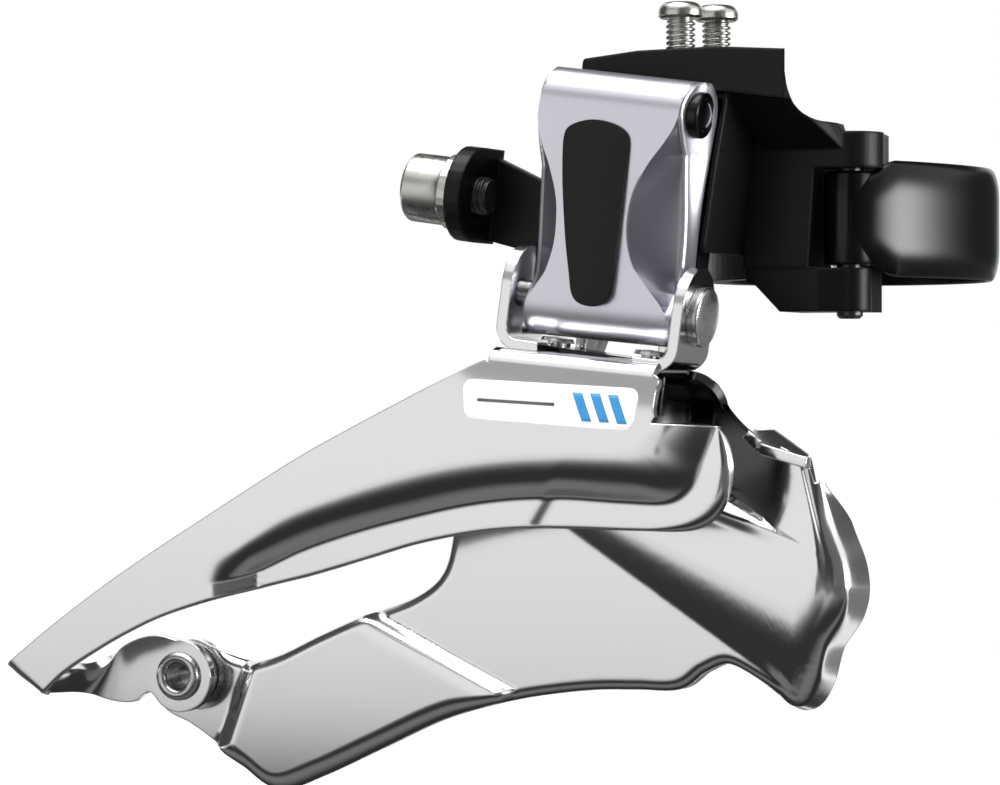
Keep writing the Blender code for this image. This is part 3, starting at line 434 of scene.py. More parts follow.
# outer cage plate: four guides from tail to nose, in x and z
outerPlate = {
    "thickness": 1.3,
    "face": -50.0,
    "recess": 3.2,
    "recessLanding": 0.92,
    "stations": 280,
    "tailStations": 14,
    "tailSpacing": 0.0009,
    "tailRoll": 2.0,
    "tailPace": 140.0,
    "roofTop": -31.0,
    "roofBend": 2.5,
    "roofInner": 4.5,
    "roofSpan": (-12.3, 11.2),
    "roofUntil": 0.79,
    "roofTwist": 0.045,
    "leanStart": -40.5,
    "leanRadius": 28.0,
    "leanFade": (-26.0, 14.0),
    "wallStart": -72.6,
    "wallLength": 6.4,
    "wallLead": 0.25,
    "lip": 0.45,
    "noseLip": 1.25,
    "noseRun": (-12.0, 9.0),
    "lipTurn": 78,
    "cornerRun": 0.02,
    "cornerLeast": 0.3,
    "joggle": 0.55,
    "joggleRun": 1.3,
    "joggleLine": ((-27.2, -39.8), (-24.3, -35.2)),
}
topEdge = [(-103.5, -59.2), (-96.5, -53.9), (-88.5, -48.4), (-81.0, -43.7), (-73.2, -39.1), (-66.0, -34.9)]
topEdge += [(-58.4, -30.6), (-51.0, -26.9), (-43.9, -23.5), (-37.0, -20.3), (-30.9, -17.9), (-24.0, -18.4)]
topEdge += [(-12.2, -19.9), (-8.9, -20.4), (-8.95, -22.4), (-9.1, -24.2), (-8.9, -25.4)]
stepStart = [(-101.6, -60.6), (-95.6, -56.0), (-88.9, -51.6), (-82.3, -47.8), (-75.6, -45.0), (-69.0, -42.9)]
stepStart += [(-60.8, -38.2), (-52.9, -35.3), (-45.4, -33.0), (-37.8, -31.3), (-30.7, -30.3), (-23.6, -29.8)]
stepStart += [(-15.5, -29.7), (-12.9, -29.6), (-11.5, -29.0), (-10.6, -27.6), (-9.4, -26.2)]
stepFoot = [(-99.4, -61.9), (-94.8, -58.2), (-89.4, -54.6), (-83.4, -51.4), (-76.8, -48.9), (-67.6, -46.4)]
stepFoot += [(-59.5, -43.0), (-51.6, -40.5), (-44.0, -38.6), (-36.5, -37.0), (-29.5, -36.1), (-22.4, -35.9)]
stepFoot += [(-14.6, -36.3), (-8.4, -36.3), (-5.2, -34.4), (-3.7, -30.9), (-2.0, -26.6)]
lowEdge = [(-97.6, -63.0), (-94.2, -60.0), (-89.8, -57.2), (-84.2, -54.2), (-77.8, -51.5), (-66.4, -48.2)]
lowEdge += [(-58.6, -46.3), (-50.8, -44.1), (-43.2, -41.9), (-35.5, -40.4), (-28.5, -39.7), (-21.4, -39.6)]
lowEdge += [(-12.8, -39.7), (-5.2, -39.5), (-1.5, -36.8), (-0.3, -32.0), (-0.9, -28.2)]


# the step leaves slowly, grows steep and lands sharply, like a sheet pressed over its die
def stepSlope(share):
    landing = outerPlate["recessLanding"]
    return share**1.2 * (1 - ease((share - landing) / (1 - landing)))


pressTable = tableOf(stepSlope, 200)


# the step's end: round where it leaves the face, straight, then a sharp foot
def endWall(x):
    share = min(max((x - outerPlate["wallStart"]) / outerPlate["wallLength"], 0.0), 1.0)
    lead = outerPlate["wallLead"]
    return (min(share, lead) ** 2 / (2 * lead) + max(share - lead, 0.0)) / (1 - lead / 2)


# how far the face leans back under the roof
def faceLean(x, z):
    local = linkInverse @ Vector((x, outerPlate["face"], z))
    high = max(local.z - outerPlate["leanStart"], 0.0)
    start, run = outerPlate["leanFade"]
    return high**2 / (2 * outerPlate["leanRadius"]) * ease((local.x - start) / run)


# rows of the roof in the link's frame: a quarter bend, then flat to inner
def roofBend(local, slope, bend, inner, flatSteps, way):
    out = []
    for step in range(9):
        turn = slope + (math.pi / 2 - slope) * step / 8
        y = local.y + way * bend * (math.cos(slope) - math.cos(turn))
        z = local.z + bend * (math.sin(turn) - math.sin(slope))
        out.append(linkFrame @ Vector((local.x, y, z)))
    last = linkInverse @ out[-1]
    for step in range(1, flatSteps + 1):
        y = last.y + (inner - last.y) * step / flatSteps
        out.append(linkFrame @ Vector((local.x, y, last.z)))
    return out[::-1]


def outerRow(share):
    plate = outerPlate
    roll = plate["tailRoll"]
    endRoll = max(roll - share * plate["tailPace"], 0.0)
    endRoll = roll - math.sqrt(roll**2 - 0.97 * endRoll**2)
    top, start, foot, low = (guide(line, share) for line in (topEdge, stepStart, stepFoot, lowEdge))
    local = linkInverse @ Vector((top.x, plate["face"], top.y))
    roofed = share < plate["roofUntil"] and plate["roofSpan"][0] <= local.x <= plate["roofSpan"][1]
    if roofed:
        bendHeight = plate["roofTop"] - plate["roofBend"]
        fixed = linkFrame @ Vector((local.x, local.y, bendHeight + plate["roofTwist"] * local.x))
        top = Vector((fixed.x, fixed.z))
    run = [(top.lerp(start, step / 16), 0.0) for step in range(16)]
    run += [(start.lerp(foot, step / 20), tableAt(pressTable, step / 20)) for step in range(20)]
    away = (low - foot).normalized()
    nose = ease((low.x - plate["noseRun"][0]) / plate["noseRun"][1])
    toEnd = max(1 - (1 - share) / plate["cornerRun"], 0.0)
    corner = plate["cornerLeast"] + (1 - plate["cornerLeast"]) * math.sqrt(max(1 - toEnd**2, 0.0))
    low = foot.lerp(low, corner)
    curl = (plate["lip"] + plate["noseLip"] * nose) * corner
    flatEnd = low - away * curl
    run += [(foot.lerp(flatEnd, step / 10), 1.0) for step in range(11)]
    row = []
    for place, amount in run:
        depth = plate["recess"] * amount * endWall(place.x)
        past = -sideOf(place, *plate["joggleLine"]) / plate["joggleRun"] + 0.5
        depth += plate["joggle"] * amount * ease(past)
        row.append(Vector((place.x, plate["face"] + depth + faceLean(place.x, place.y) + endRoll, place.y)))
    base = row[-1]
    for step in range(1, 8):
        turn = math.radians(plate["lipTurn"] * step / 7)
        out = away * (curl * math.sin(turn))
        row.append(base + Vector((out.x, curl * (1 - math.cos(turn)), out.y)))
    return row, roofed


def outerSheet():
    plate = outerPlate
    packed = plate["tailStations"] * plate["tailSpacing"]
    shares = [plate["tailSpacing"] * step for step in range(plate["tailStations"])]
    shares += [packed + (1 - packed) * step / plate["stations"] for step in range(1, plate["stations"] + 1)]
    slope = math.atan((plate["roofTop"] - plate["roofBend"] - plate["leanStart"]) / plate["leanRadius"])
    faceRows, roofRows = [], []
    for share in shares:
        row, roofed = outerRow(share)
        faceRows.append(row)
        if roofed:
            local = linkInverse @ row[0]
            roofRows.append(roofBend(local, slope, plate["roofBend"], plate["roofInner"], 6, 1))
    grids, standsFor = [faceRows, roofRows], ["outer_cage_plate"]
    # the plate's back takes the plating painted dark as shade
    sheetPiece("outerPlateSheet", grids, plated, standsFor, plate["thickness"], platedBackPaintedShade)


outerSheet()

# ears bent up from the roof's ends for the lower axle
ears = {
    "outside": 12.5,
    "thickness": 1.4,
    "bend": 3.0,
    "halfWidth": 5.2,
    "top": -18.9,
    "under": -32.3,
    "root": 6.5,
    "rootEnd": 8.2,
}


def earSheet(name, way):
    outside, bend, half, under = ears["outside"], ears["bend"], ears["halfWidth"], ears["under"]
    path = [(ears["root"], under), (ears["rootEnd"], under)]
    path += arc((outside - bend, under + bend), bend, -90, 0, 10)
    turnHeight = ears["top"] - half
    for step in range(1, 9):
        path.append((outside, under + bend + (turnHeight - under - bend) * step / 8))
    widths = [half] * len(path)
    for step in range(1, 13):
        turn = math.radians(89.5 * step / 12)
        path.append((outside, turnHeight + half * math.sin(turn)))
        widths.append(half * math.cos(turn))
    rows = []
    for (x, z), width in zip(path, widths):
        rows.append([linkFrame @ Vector((way * x, width * (1 - step / 4) * -way, z)) for step in range(9)])
    sheetPiece(name, [rows], plated, (), ears["thickness"])


earSheet("outerPlateFrontEar", 1)
earSheet("outerPlateRearEar", -1)

# tail arm: turns in from the plate's tail, joggles and ends round the rivet; each section from foot to top
tailArm = {"thickness": 1.3, "rivet": (-83.0, -60.7), "hole": 2.45, "stations": 90, "columns": 15}
tailSections = [
    ((-97.9, -49.6, -62.7), (-93.6, -49.6, -59.4)),
    ((-97.6, -45.5, -62.9), (-94.6, -45.5, -59.6)),
    ((-97.2, -41.8, -63.1), (-94.4, -41.8, -60.0)),
    ((-96.0, -39.7, -63.5), (-93.4, -39.7, -59.2)),
    ((-93.2, -39.1, -64.3), (-91.6, -39.1, -57.0)),
    ((-90.0, -38.8, -64.4), (-88.6, -38.8, -55.6)),
    ((-87.6, -38.65, -63.0), (-86.0, -38.65, -55.3)),
    ((-85.6, -38.6, -64.8), (-83.6, -38.6, -55.8)),
    ((-83.0, -38.6, -65.6), (-82.0, -38.6, -55.9)),
    ((-80.2, -38.6, -64.7), (-80.2, -38.6, -56.7)),
    ((-78.6, -38.6, -62.8), (-78.6, -38.6, -58.6)),
    ((-78.1, -38.6, -60.8), (-78.1, -38.6, -60.6)),
]


def tailArmSheet():
    lows, highs = zip(*tailSections)
    last = tailArm["columns"] - 1
    rows = []
    for station in range(tailArm["stations"]):
        share = station / (tailArm["stations"] - 1)
        foot, top = guide(lows, share), guide(highs, share)
        rows.append([top.lerp(foot, step / last) for step in range(last + 1)])
    arm = sheetPiece("outerPlateTailArm", [rows], plated, (), tailArm["thickness"])
    cutBy(arm, slab("hole", [ring(tailArm["rivet"], tailArm["hole"], 48)], 30, 45, facing, 0.01))


tailArmSheet()
print("outer cage plate made")

# inner cage plate: two guides from tail to nose and a depth that holds the pressed forms
innerPlate = {
    "thickness": 1.3,
    "face": -35.3,
    "stations": 400,
    "columns": 100,
    "facetRise": 2.2,
    "facetLeft": (((-78.8, -69.0), (-75.0, -58.7)), ((-74.6, -69.0), (-70.9, -58.7))),
    "facetRight": (((-54.5, -51.6), (-36.0, -60.3)), ((-56.0, -54.9), (-37.5, -63.6))),
    "topRoll": 1.5,
    "topRollShares": (0.1, 0.44),
    "noseFoot": ((-25.7, -40.9), (5.1, -60.9)),
    "noseTop": ((-20.1, -37.9), (6.8, -49.8)),
    "noseSlope": math.tan(math.radians(17.0)),
    "hollowEdge": ((1.8, -40.1), (2.4, -31.4)),
    "hollowSoft": 1.7,
    "hollowSlope": 0.42,
    "hollowWidth": 11.0,
    "hollowLeft": (-17.0, 6.0),
    "hollowTop": (-19.0, 5.0),
    "ledgeTop": ((-5.8, -35.5), (2.7, -40.1)),
    "ledgeFoot": ((-5.8, -37.2), (2.7, -40.1)),
    "ledgeSlope": 0.66,
    "ledgeSoft": 0.5,
    "ledgeRib": 0.35,
    "ribFoot": 1.7,
    "ribRun": 5.0,
    "roofShares": (0.4, 0.68),
    "roofSpan": (-10.8, 9.4),
    "roofBend": 1.6,
    "roofGap": 0.3,
    "edgeRound": 2.3,
    "noseRound": 1.4,
    "valley": 2.4,
    "flange": 3.4,
    "noseFlangeMore": 2.0,
    "lipWall": 0.27,
}
# the rim's section, out as a share of its reach and back in mm
rimLip = [(0.08, 0.09), (0.17, 0.21), (0.26, 0.37), (0.36, 0.58), (0.46, 0.81)]
rimLip += [(0.56, 1.06), (0.64, 1.38), (0.69, 1.8), (0.73, 2.25)]
noseRim = [1.3, 1.7, 2.2, 2.8, 3.1, 3.7, 3.3, 2.3, 1.0]  # how far the rim stands out beyond the last points
bottomEdge = [(-88.0, -61.6), (-86.2, -64.6), (-82.6, -66.2), (-78.6, -68.6), (-74.0, -71.8), (-69.2, -74.4)]
bottomEdge += [(-63.0, -72.4), (-54.5, -68.5), (-46.1, -64.6), (-40.0, -62.6), (-34.4, -61.2), (-28.5, -60.2)]
bottomEdge += [(-23.1, -59.6), (-17.5, -59.4), (-12.2, -59.2), (-8.9, -57.0), (-5.2, -55.7), (-1.2, -57.3)]
bottomEdge += [(1.8, -59.6), (3.8, -60.6), (5.0, -58.0), (6.3, -53.3), (8.4, -48.8), (8.9, -45.0)]
bottomEdge += [(8.1, -40.2), (7.2, -33.7)]
upperEdge = [(-88.0, -59.8), (-86.0, -57.0), (-82.0, -55.9), (-77.8, -57.8), (-73.5, -58.6), (-68.8, -57.5)]
upperEdge += [(-62.5, -54.6), (-55.7, -51.7), (-49.2, -49.2), (-45.4, -46.0), (-43.9, -40.5), (-42.6, -31.0)]
upperEdge += [(-38.6, -19.4), (-31.0, -17.9), (-22.0, -19.2), (-13.5, -20.3), (-8.6, -21.2), (-6.6, -24.4)]
upperEdge += [(-2.8, -27.4), (0.2, -28.2), (1.8, -28.8), (3.0, -29.3), (4.1, -29.8), (5.0, -30.3)]
upperEdge += [(5.8, -30.9), (6.6, -31.9)]


# the facet's left wall: filleted at its foot, soft at its top
def leftSlope(share):
    return ease(share / 0.25) * (1 - ease((share - 0.3) / 0.7))


# the facet's right wall: a short fillet, a steep part and a long soft shoulder
def rightSlope(share):
    shoulder = ease((share - 0.24) / 0.14)
    return ease(share / 0.06) * (1 - shoulder * (1 - 0.14 * (1 - share) ** 1.5))


# the nose's rise: steep at its foot, flat at its top
def noseFall(share):
    return 1 - ease((share - 0.25) / 0.75)


leftTable, rightTable, noseTable = (tableOf(slope, 100) for slope in (leftSlope, rightSlope, noseFall))


# a point's share of the way from one line to another, and the lines' gap there
def between(point, footLine, topLine, footSide, topSide):
    low = sideOf(point, *footLine) * footSide
    high = sideOf(point, *topLine) * topSide
    if low <= 0:
        return 0.0, 0.0
    return (1.0 if high <= 0 else low / (low + high)), low + high


def innerDepth(x, z):
    plate = innerPlate
    here = (x, z)
    left = tableAt(leftTable, between(here, *plate["facetLeft"], -1, 1)[0])
    right = tableAt(rightTable, between(here, *plate["facetRight"], -1, 1)[0])
    share, width = between(here, plate["noseFoot"], plate["noseTop"], 1, -1)
    rise = plate["noseSlope"] * max(width, 0.0) * noseTable[int(share * 100)] / 100
    aboveTop = ease(sideOf(here, *plate["ledgeTop"]) / plate["ledgeSoft"])
    aboveFoot = sideOf(here, *plate["ledgeFoot"])
    inside = sideOf(here, *plate["hollowEdge"])
    inside = (inside + math.hypot(inside, plate["hollowSoft"])) / 2
    hollow = plate["hollowSlope"] * min(inside, plate["hollowWidth"])
    ledge = min(plate["ledgeSlope"] * max(aboveFoot, 0.0), hollow)
    hollow = ledge + (hollow - ledge) * aboveTop
    rib = ease(aboveFoot / plate["ribFoot"] + 1.0) * ease(inside / plate["ribRun"]) * (1 - aboveTop)
    rise += plate["ledgeRib"] * rib
    hollow *= ease((x - plate["hollowLeft"][0]) / plate["hollowLeft"][1])
    hollow *= ease((plate["hollowTop"][0] - z) / plate["hollowTop"][1])
    return plate["face"] - plate["facetRise"] * left * right - rise + hollow


# shares along a row, with points set on the ledge's lines where the row crosses them
def rowParts(top, low):
    last = innerPlate["columns"] - 1
    parts = [step / last for step in range(last + 1)]
    taken = []
    ledgeTop, ledgeFoot = innerPlate["ledgeTop"], innerPlate["ledgeFoot"]
    for line, lift in ((ledgeTop, 0.0), (ledgeTop, innerPlate["ledgeSoft"]), (ledgeFoot, 0.0)):
        first, end = sideOf(top, *line) - lift, sideOf(low, *line) - lift
        if first > 0 > end and top.lerp(low, first / (first - end)).x < ledgeTop[1][0]:
            index = round(last * first / (first - end))
            if index not in taken:
                taken.append(index)
                parts[index] = first / (first - end)
    return parts


def innerRow(share):
    plate = innerPlate
    top, low = guide(upperEdge, share), guide(bottomEdge, share)
    away = (low - top).normalized()
    along, topAlong = heading(bottomEdge, share), heading(upperEdge, share)
    outward = Vector((along.y, -along.x)).normalized()
    local = linkInverse @ Vector((top.x, plate["face"], top.y))
    first, last = plate["roofShares"]
    roofed = first < share < last and plate["roofSpan"][0] <= local.x <= plate["roofSpan"][1]
    if roofed:
        under = outerPlate["roofTop"] - outerPlate["thickness"] - plate["roofGap"]
        fixed = linkFrame @ Vector((local.x, local.y, under - plate["roofBend"]))
        top = Vector((fixed.x, fixed.z))
    bead = ease((share - last) / 0.05)
    rim = guide([(value, 0) for value in noseRim], min(max((share * 25 - 17) / 8, 0.0), 1.0)).x
    rounding = plate["edgeRound"] - (plate["edgeRound"] - plate["noseRound"]) * ease((low.x + 44.0) / 8.0)
    rollFirst, rollLast = plate["topRollShares"]
    rolled = ease((share - rollFirst) / 0.03) * (1 - ease((share - rollLast) / 0.03))
    square = abs(away.x * topAlong.y - away.y * topAlong.x) / topAlong.length
    start = low - outward * (rounding - 1.2) * (1 - bead)
    length = (start - top).length
    row = []
    for part in rowParts(top, start):
        place = top.lerp(start, part)
        toRim = length * (1 - part) * away.dot(outward)
        valley = max(plate["valley"] - toRim, 0.0) ** 2 * 0.1 * bead
        inset = max(1 - length * part * square / plate["topRoll"], 0.0)
        roll = plate["topRoll"] * (1 - math.sqrt(1 - 0.96 * inset * inset)) * rolled
        row.append(Vector((place.x, innerDepth(place.x, place.y) + valley + roll, place.y)))
    curl = ease((low.x + 79.0) / 6.0)
    taper = 0.3 + 0.7 * ease((1 - share) / 0.035)
    reach = (plate["flange"] + plate["noseFlangeMore"] * ease((low.x - 1.0) / 7.0)) * taper
    base = row[-1]
    for step, (lipOut, lipBack) in enumerate(rimLip):
        turn = math.radians(88 * (step + 1) / len(rimLip))
        out = rounding * math.sin(turn) * (1 - bead) + rim * lipOut * bead
        back = rounding * (1 - math.cos(turn)) * (1 - bead) + lipBack * bead * taper
        row.append(base + Vector((outward.x * out, back * curl, outward.y * out)))
    tip = row[-1]
    for step in range(1, 4):
        out = outward * (rim * plate["lipWall"] * bead * step / 3)
        row.append(tip + Vector((out.x, max(reach - rounding, 0.2) * step / 3 * curl, out.y)))
    return row, roofed


def innerSheet():
    rows, roofRows = [], []
    bend = innerPlate["roofBend"]
    for station in range(innerPlate["stations"]):
        row, roofed = innerRow(station / (innerPlate["stations"] - 1))
        rows.append(row)
        if roofed:
            roofRows.append(roofBend(linkInverse @ row[0], 0.0, bend, -bend, 4, -1))
    grids, standsFor = [rows, roofRows], ["inner_cage_plate"]
    sheetPiece("innerPlateSheet", grids, platedNeckPaintedShade, standsFor, innerPlate["thickness"])


innerSheet()

# sheared tab on the nose's top: an upright leaf behind a bright cut edge, and a smaller edge to its left
noseTab = {
    "leafPlace": (0.7, -37.3, -28.9),
    "leafTurn": 21.0,
    "leaf": [(-0.9, -0.4), (0.0, -0.6), (5.8, -2.2), (5.8, -1.3), (1.3, 2.0), (-1.2, 1.9)],
    "edge": [(0.2, -30.1), (6.6, -31.9), (6.7, -30.5), (0.6, -28.8)],
    "nib": [(-0.4, -29.7), (0.4, -28.4), (-1.2, -27.2), (-2.0, -28.0)],
}
leafTurn = Matrix.Rotation(math.radians(noseTab["leafTurn"]), 4, "Z")
leafFrame = Matrix.Translation(noseTab["leafPlace"]) @ leafTurn @ facing
for name, loop, low, high, place in (
    ("innerPlateNoseLeaf", noseTab["leaf"], -1.3, 0.0, leafFrame),
    ("innerPlateNoseEdge", noseTab["edge"], 36.2, 38.0, facing),
    ("innerPlateNoseNib", noseTab["nib"], 35.6, 37.6, facing),
):
    piece(name, slab(name, [loop], low, high, place, 0.1), "cage", plated)

# two lugs behind the inner plate for the inner link's lower axle
lug = {"thickness": 1.5, "radius": 3.4, "hole": 1.9, "rear": -6.5, "front": 5.0}
lugLoop = [(-6.4, -13.0), (-4.2, -13.0), (2.2, -2.8)]
lugLoop += arc((0, 0), lug["radius"], -30, 120, 24) + [(-6.4, -1.0)]
for name, low in (("innerPlateRearLug", lug["rear"]), ("innerPlateFrontLug", lug["front"])):
    loops = [lugLoop, ring((0, 0), lug["hole"], 32)]
    lugMesh = slab(name, loops, low, low + lug["thickness"], innerLowFrame @ across)
    piece(name, lugMesh, "cage", plated)
print("inner cage plate made")

# hollow rivet through the cage's tail: a flared back, a shank and a rolled rim
tailRivet = {"bore": 1.75, "shank": 2.3, "flare": 3.2, "front": 38.65, "back": 34.0, "rim": (2.53, 0.75)}
bore, shank, flare, front, back = (tailRivet[key] for key in ("bore", "shank", "flare", "front", "back"))
rivetProfile = [(bore, back - 0.6), (flare - 0.2, back - 0.55), (flare, back - 0.2), (flare, back)]
rivetProfile += [(shank, back), (shank, front)]
rivetProfile += arc((tailRivet["rim"][0], front + 0.15), tailRivet["rim"][1], -10, 200, 14)
rivetProfile += [(bore, front - 0.6), (bore, back - 0.6)]
rivetPlace = Matrix.Translation((tailArm["rivet"][0], 0, tailArm["rivet"][1])) @ facing
rivetMesh = lathe("tailRivet", rivetProfile, rivetPlace)
piece("tailRivet", rivetMesh, "cage", platedSmall, ["tail_rivet"])

# outer link: a waisted front face between hollowed flanks, edges as (height, across) in the link's frame
outerLink = {
    "halfWidth": 10.2,
    "topRadius": 4.1,
    "footRadius": 3.7,
    "footDrop": 4.7,
    "waistBack": 3.0,
    "edge": 0.7,
    "hollow": 2.6,
    "hollowRun": (2.5, 3.0),
    "hollowTop": (1.5, 4.0),
    "hollowFoot": (2.5, 3.0),
    "hollowSteps": 16,
    "faceSteps": 24,
    "shadeMiddle": -13.0,
    "shadeReach": 12.5,
    "footTwist": 0.04,
    "axle": 1.9,
    "seat": 3.7,
}
faceLeft = [(4.2, -10.4), (0.0, -10.9), (-2.0, -11.0), (-3.5, -10.8), (-5.4, -10.1), (-8.4, -8.6)]
faceLeft += [(-12.1, -7.2), (-15.2, -6.7), (-18.4, -6.7), (-21.6, -7.4), (-23.7, -8.6), (-25.4, -9.6)]
faceLeft += [(-29.0, -9.9)]
faceRight = [(4.2, 8.9), (1.0, 8.2), (-1.0, 8.0), (-3.5, 6.9), (-6.8, 4.9), (-10.5, 3.3), (-14.1, 2.9)]
faceRight += [(-17.1, 3.3), (-20.1, 4.6), (-22.9, 7.1), (-25.0, 9.1), (-26.7, 9.9), (-29.0, 9.9)]
sideLeft = [(4.2, -10.7), (2.1, -11.1), (-1.9, -11.3), (-7.0, -11.1), (-12.5, -10.7), (-20.3, -10.1)]
sideLeft += [(-25.5, -10.2), (-29.0, -10.1)]
sideRight = [(4.2, 9.2), (1.4, 8.6), (-1.0, 8.5), (-6.3, 8.9), (-13.9, 9.8), (-18.5, 10.1)]
sideRight += [(-25.0, 10.2), (-29.0, 10.2)]


def valueAt(table, height):
    low = 0
    for index in range(len(table) - 1):
        if height <= table[index][0]:
            low = index
    gap = (table[low][0] - height) / (table[low][0] - table[low + 1][0])
    return guide([(value, 0) for level, value in table], (low + min(max(gap, 0), 1)) / (len(table) - 1)).x


def hollowShape(gone):
    return 0.7 * gone + 0.3 * (1 - (1 - gone) ** 2)


# points from one to another, eased across and even in depth, without the first
def flank(first, last, steps, count):
    out = []
    for step in range(1, count + 1):
        x = first[0] + (last[0] - first[0]) * ease(step / steps)
        out.append((x, first[1] + (last[1] - first[1]) * step / steps))
    return out


def linkSection(z):
    length, half = linkage["length"], outerLink["halfWidth"]
    topRadius, footRadius = outerLink["topRadius"], outerLink["footRadius"]
    share = min(max(-z / length, 0.0), 1.0)
    radius = topRadius + (footRadius - topRadius) * share
    over = max(z, (-length - z) * footRadius / outerLink["footDrop"], 0.0)
    front = -math.sqrt(max(radius**2 - over**2, 0.0))
    back = -front
    if over == 0:
        waist = outerLink["waistBack"]
        back = (radius + waist) / 2 + (radius - waist) / 2 * math.cos(2 * math.pi * share)
    left, right = valueAt(sideLeft, z), valueAt(sideRight, z)
    innerLeft, innerRight = valueAt(faceLeft, z), valueAt(faceRight, z)
    (topStart, topRun), (footStart, footRun) = outerLink["hollowTop"], outerLink["hollowFoot"]
    deep = outerLink["hollow"] * ease((topStart - z) / topRun) * ease((z + length + footStart) / footRun)
    deepLeft = deep * min((innerLeft - left) / outerLink["hollowRun"][0], 1.0)
    deepRight = deep * min((right - innerRight) / outerLink["hollowRun"][1], 1.0)
    soft = min(outerLink["edge"], (back - front) * 0.2)
    steps, faceSteps = outerLink["hollowSteps"], outerLink["faceSteps"]
    out = []
    for step in range(steps):
        gone = 1 - step / steps
        x = left + soft + (innerLeft - left - soft) * (1 - gone)
        out.append((x, front + deepLeft * hollowShape(gone)))
    for step in range(faceSteps + 1):
        out.append((innerLeft + (innerRight - innerLeft) * step / faceSteps, front))
    for step in range(1, steps + 1):
        gone = step / steps
        out.append((innerRight + (right - soft - innerRight) * gone, front + deepRight * hollowShape(gone)))
    out += arc((right - soft, front + deepRight + soft), soft, -72, 0, 4)
    out += flank(out[-1], (half, back - soft), 7, 7)
    out += arc((half - soft, back - soft), soft, 18, 90, 4)
    out += [(half - soft - (half - soft) * 2 * step / 12, back) for step in range(1, 12)]
    out += arc((-half + soft, back - soft), soft, 90, 180, 5)
    out += flank(out[-1], (left, front + deepLeft + soft), 8, 7)
    out += arc((left + soft, front + deepLeft + soft), soft, 180, 252, 4)
    twist = outerLink["footTwist"] * ease(-z / length)
    return [linkFrame @ Vector((x, y, z + twist * x)) for x, y in out]


def linkBody():
    length = linkage["length"]
    turns = [math.radians(turn) for turn in (7, 14, 22, 30, 38, 46, 54, 62, 70, 78, 84, 88)]
    levels = [outerLink["topRadius"] * math.sin(turn) for turn in turns[::-1]]
    levels += [-length * step / 70 for step in range(71)]
    levels += [-length - outerLink["footDrop"] * math.sin(turn) for turn in turns]
    sections = [linkSection(z) for z in levels]
    mesh = skinMesh("outerLinkBody", sections)
    link = piece("outerLinkBody", mesh, "outer_arm", silverPaint, ["outer_link"], 40)
    # painted shade: faces in the flank hollows within 12.5 mm of the link's middle height take the darker
    # copy of the paint
    link.data.materials.append(paintedHollowShade)
    count, steps, faceSteps = len(sections[0]), outerLink["hollowSteps"], outerLink["faceSteps"]
    middle = (linkFrame @ Vector((0, 0, outerLink["shadeMiddle"]))).z
    for face in link.data.polygons[: count * (len(sections) - 1)]:
        step = face.index % count
        inHollow = step < steps or steps + faceSteps <= step <= 2 * steps + faceSteps
        near = abs(face.center.z / mm - middle) < outerLink["shadeReach"]
        face.material_index = int(inHollow and near)
    upper = arc((0, 0), 3.1, 90, 270, 24) + [(9, -3.1), (9, 7), (0.4, 7), (0.4, 3.1)]
    lower = arc((0, -length), 2.7, 90, 270, 24) + [(9, -length - 2.7), (9, -length + 2.7)]
    seat = ring((0, 0), outerLink["seat"], 40)
    cuts = [(upper, -7.0, 7.0), (lower, -7.0, 7.0), (seat, -20, -10.3), (seat, 10.25, 20)]
    cuts += [(ring((0, drop), outerLink["axle"], 40), -20, 20) for drop in (0, -length)]
    for loop, low, high in cuts:
        cutBy(link, slab("cut", [loop], low, high, linkFrame @ across, 0.01))


linkBody()

# bare black plate set on the link's face
badge = {"thickness": 0.5, "proud": 0.25}
badgeLoop = [(-6.9, -4.6), (-6.5, -3.5), (-5.2, -2.7), (-3.4, -2.2), (-1.5, -2.2), (0.3, -2.6), (1.5, -3.3)]
badgeLoop += [(2.05, -4.3), (2.2, -6.5), (2.3, -14.9), (2.3, -22.6), (2.0, -24.3), (1.0, -25.2)]
badgeLoop += [(-0.6, -25.5), (-2.2, -25.1), (-3.1, -24.0), (-3.7, -21.8), (-4.9, -17.2), (-6.2, -10.8)]
badgeLoop += [(-6.8, -6.6)]
badgeLean = math.atan2(outerLink["topRadius"] - outerLink["footRadius"], linkage["length"])
badgeFrame = linkFrame @ Matrix.Translation((0, -outerLink["topRadius"], 0))
badgeFrame = badgeFrame @ Matrix.Rotation(-badgeLean, 4, "X")
badgeSpan = (badge["proud"] - badge["thickness"], badge["proud"])
badgeMesh = slab("namePlate", [smoothLoop(badgeLoop, 4)], *badgeSpan, badgeFrame @ facing, 0.1)
piece("namePlate", badgeMesh, "outer_arm", badgeBlack, ["name_plate"])
print("outer link made")

# printed label on the outer plate: white vinyl with plain bars
label = {
    "lift": 0.06,
    "inkLift": 0.09,
    "thickness": 0.04,
    "corners": [(-35.1, -20.6, 1.2), (-11.0, -21.9, 1.2), (-11.7, -27.2, 1.6), (-34.8, -25.6, 1.2)],
    "barTops": [(-20.0, -22.4), (-17.6, -22.5), (-15.2, -22.7)],
    "barRun": Vector((1.4, -3.6)),
    "barStep": Vector((1.3, -0.05)),
    "line": [(-33.0, -23.1), (-22.4, -23.7), (-22.4, -24.1), (-33.0, -23.5)],
}


def onPlate(name, loop, lift, material):
    work = bmesh.new()
    work.faces.new([work.verts.new((u, 0, v)) for u, v in loop])
    bmesh.ops.triangulate(work, faces=work.faces)
    bmesh.ops.subdivide_edges(work, edges=work.edges, cuts=5, use_grid_fill=True)
    bmesh.ops.triangulate(work, faces=work.faces)
    for vert in work.verts:
        vert.co.y = outerPlate["face"] + faceLean(vert.co.x, vert.co.z) - lift
    for side in work.faces:
        side.normal_update()
        if side.normal.y > 0:
            side.normal_flip()
    made = piece(name, meshFromBm(work, name), "cage", material)
    thicken(made, label["thickness"])


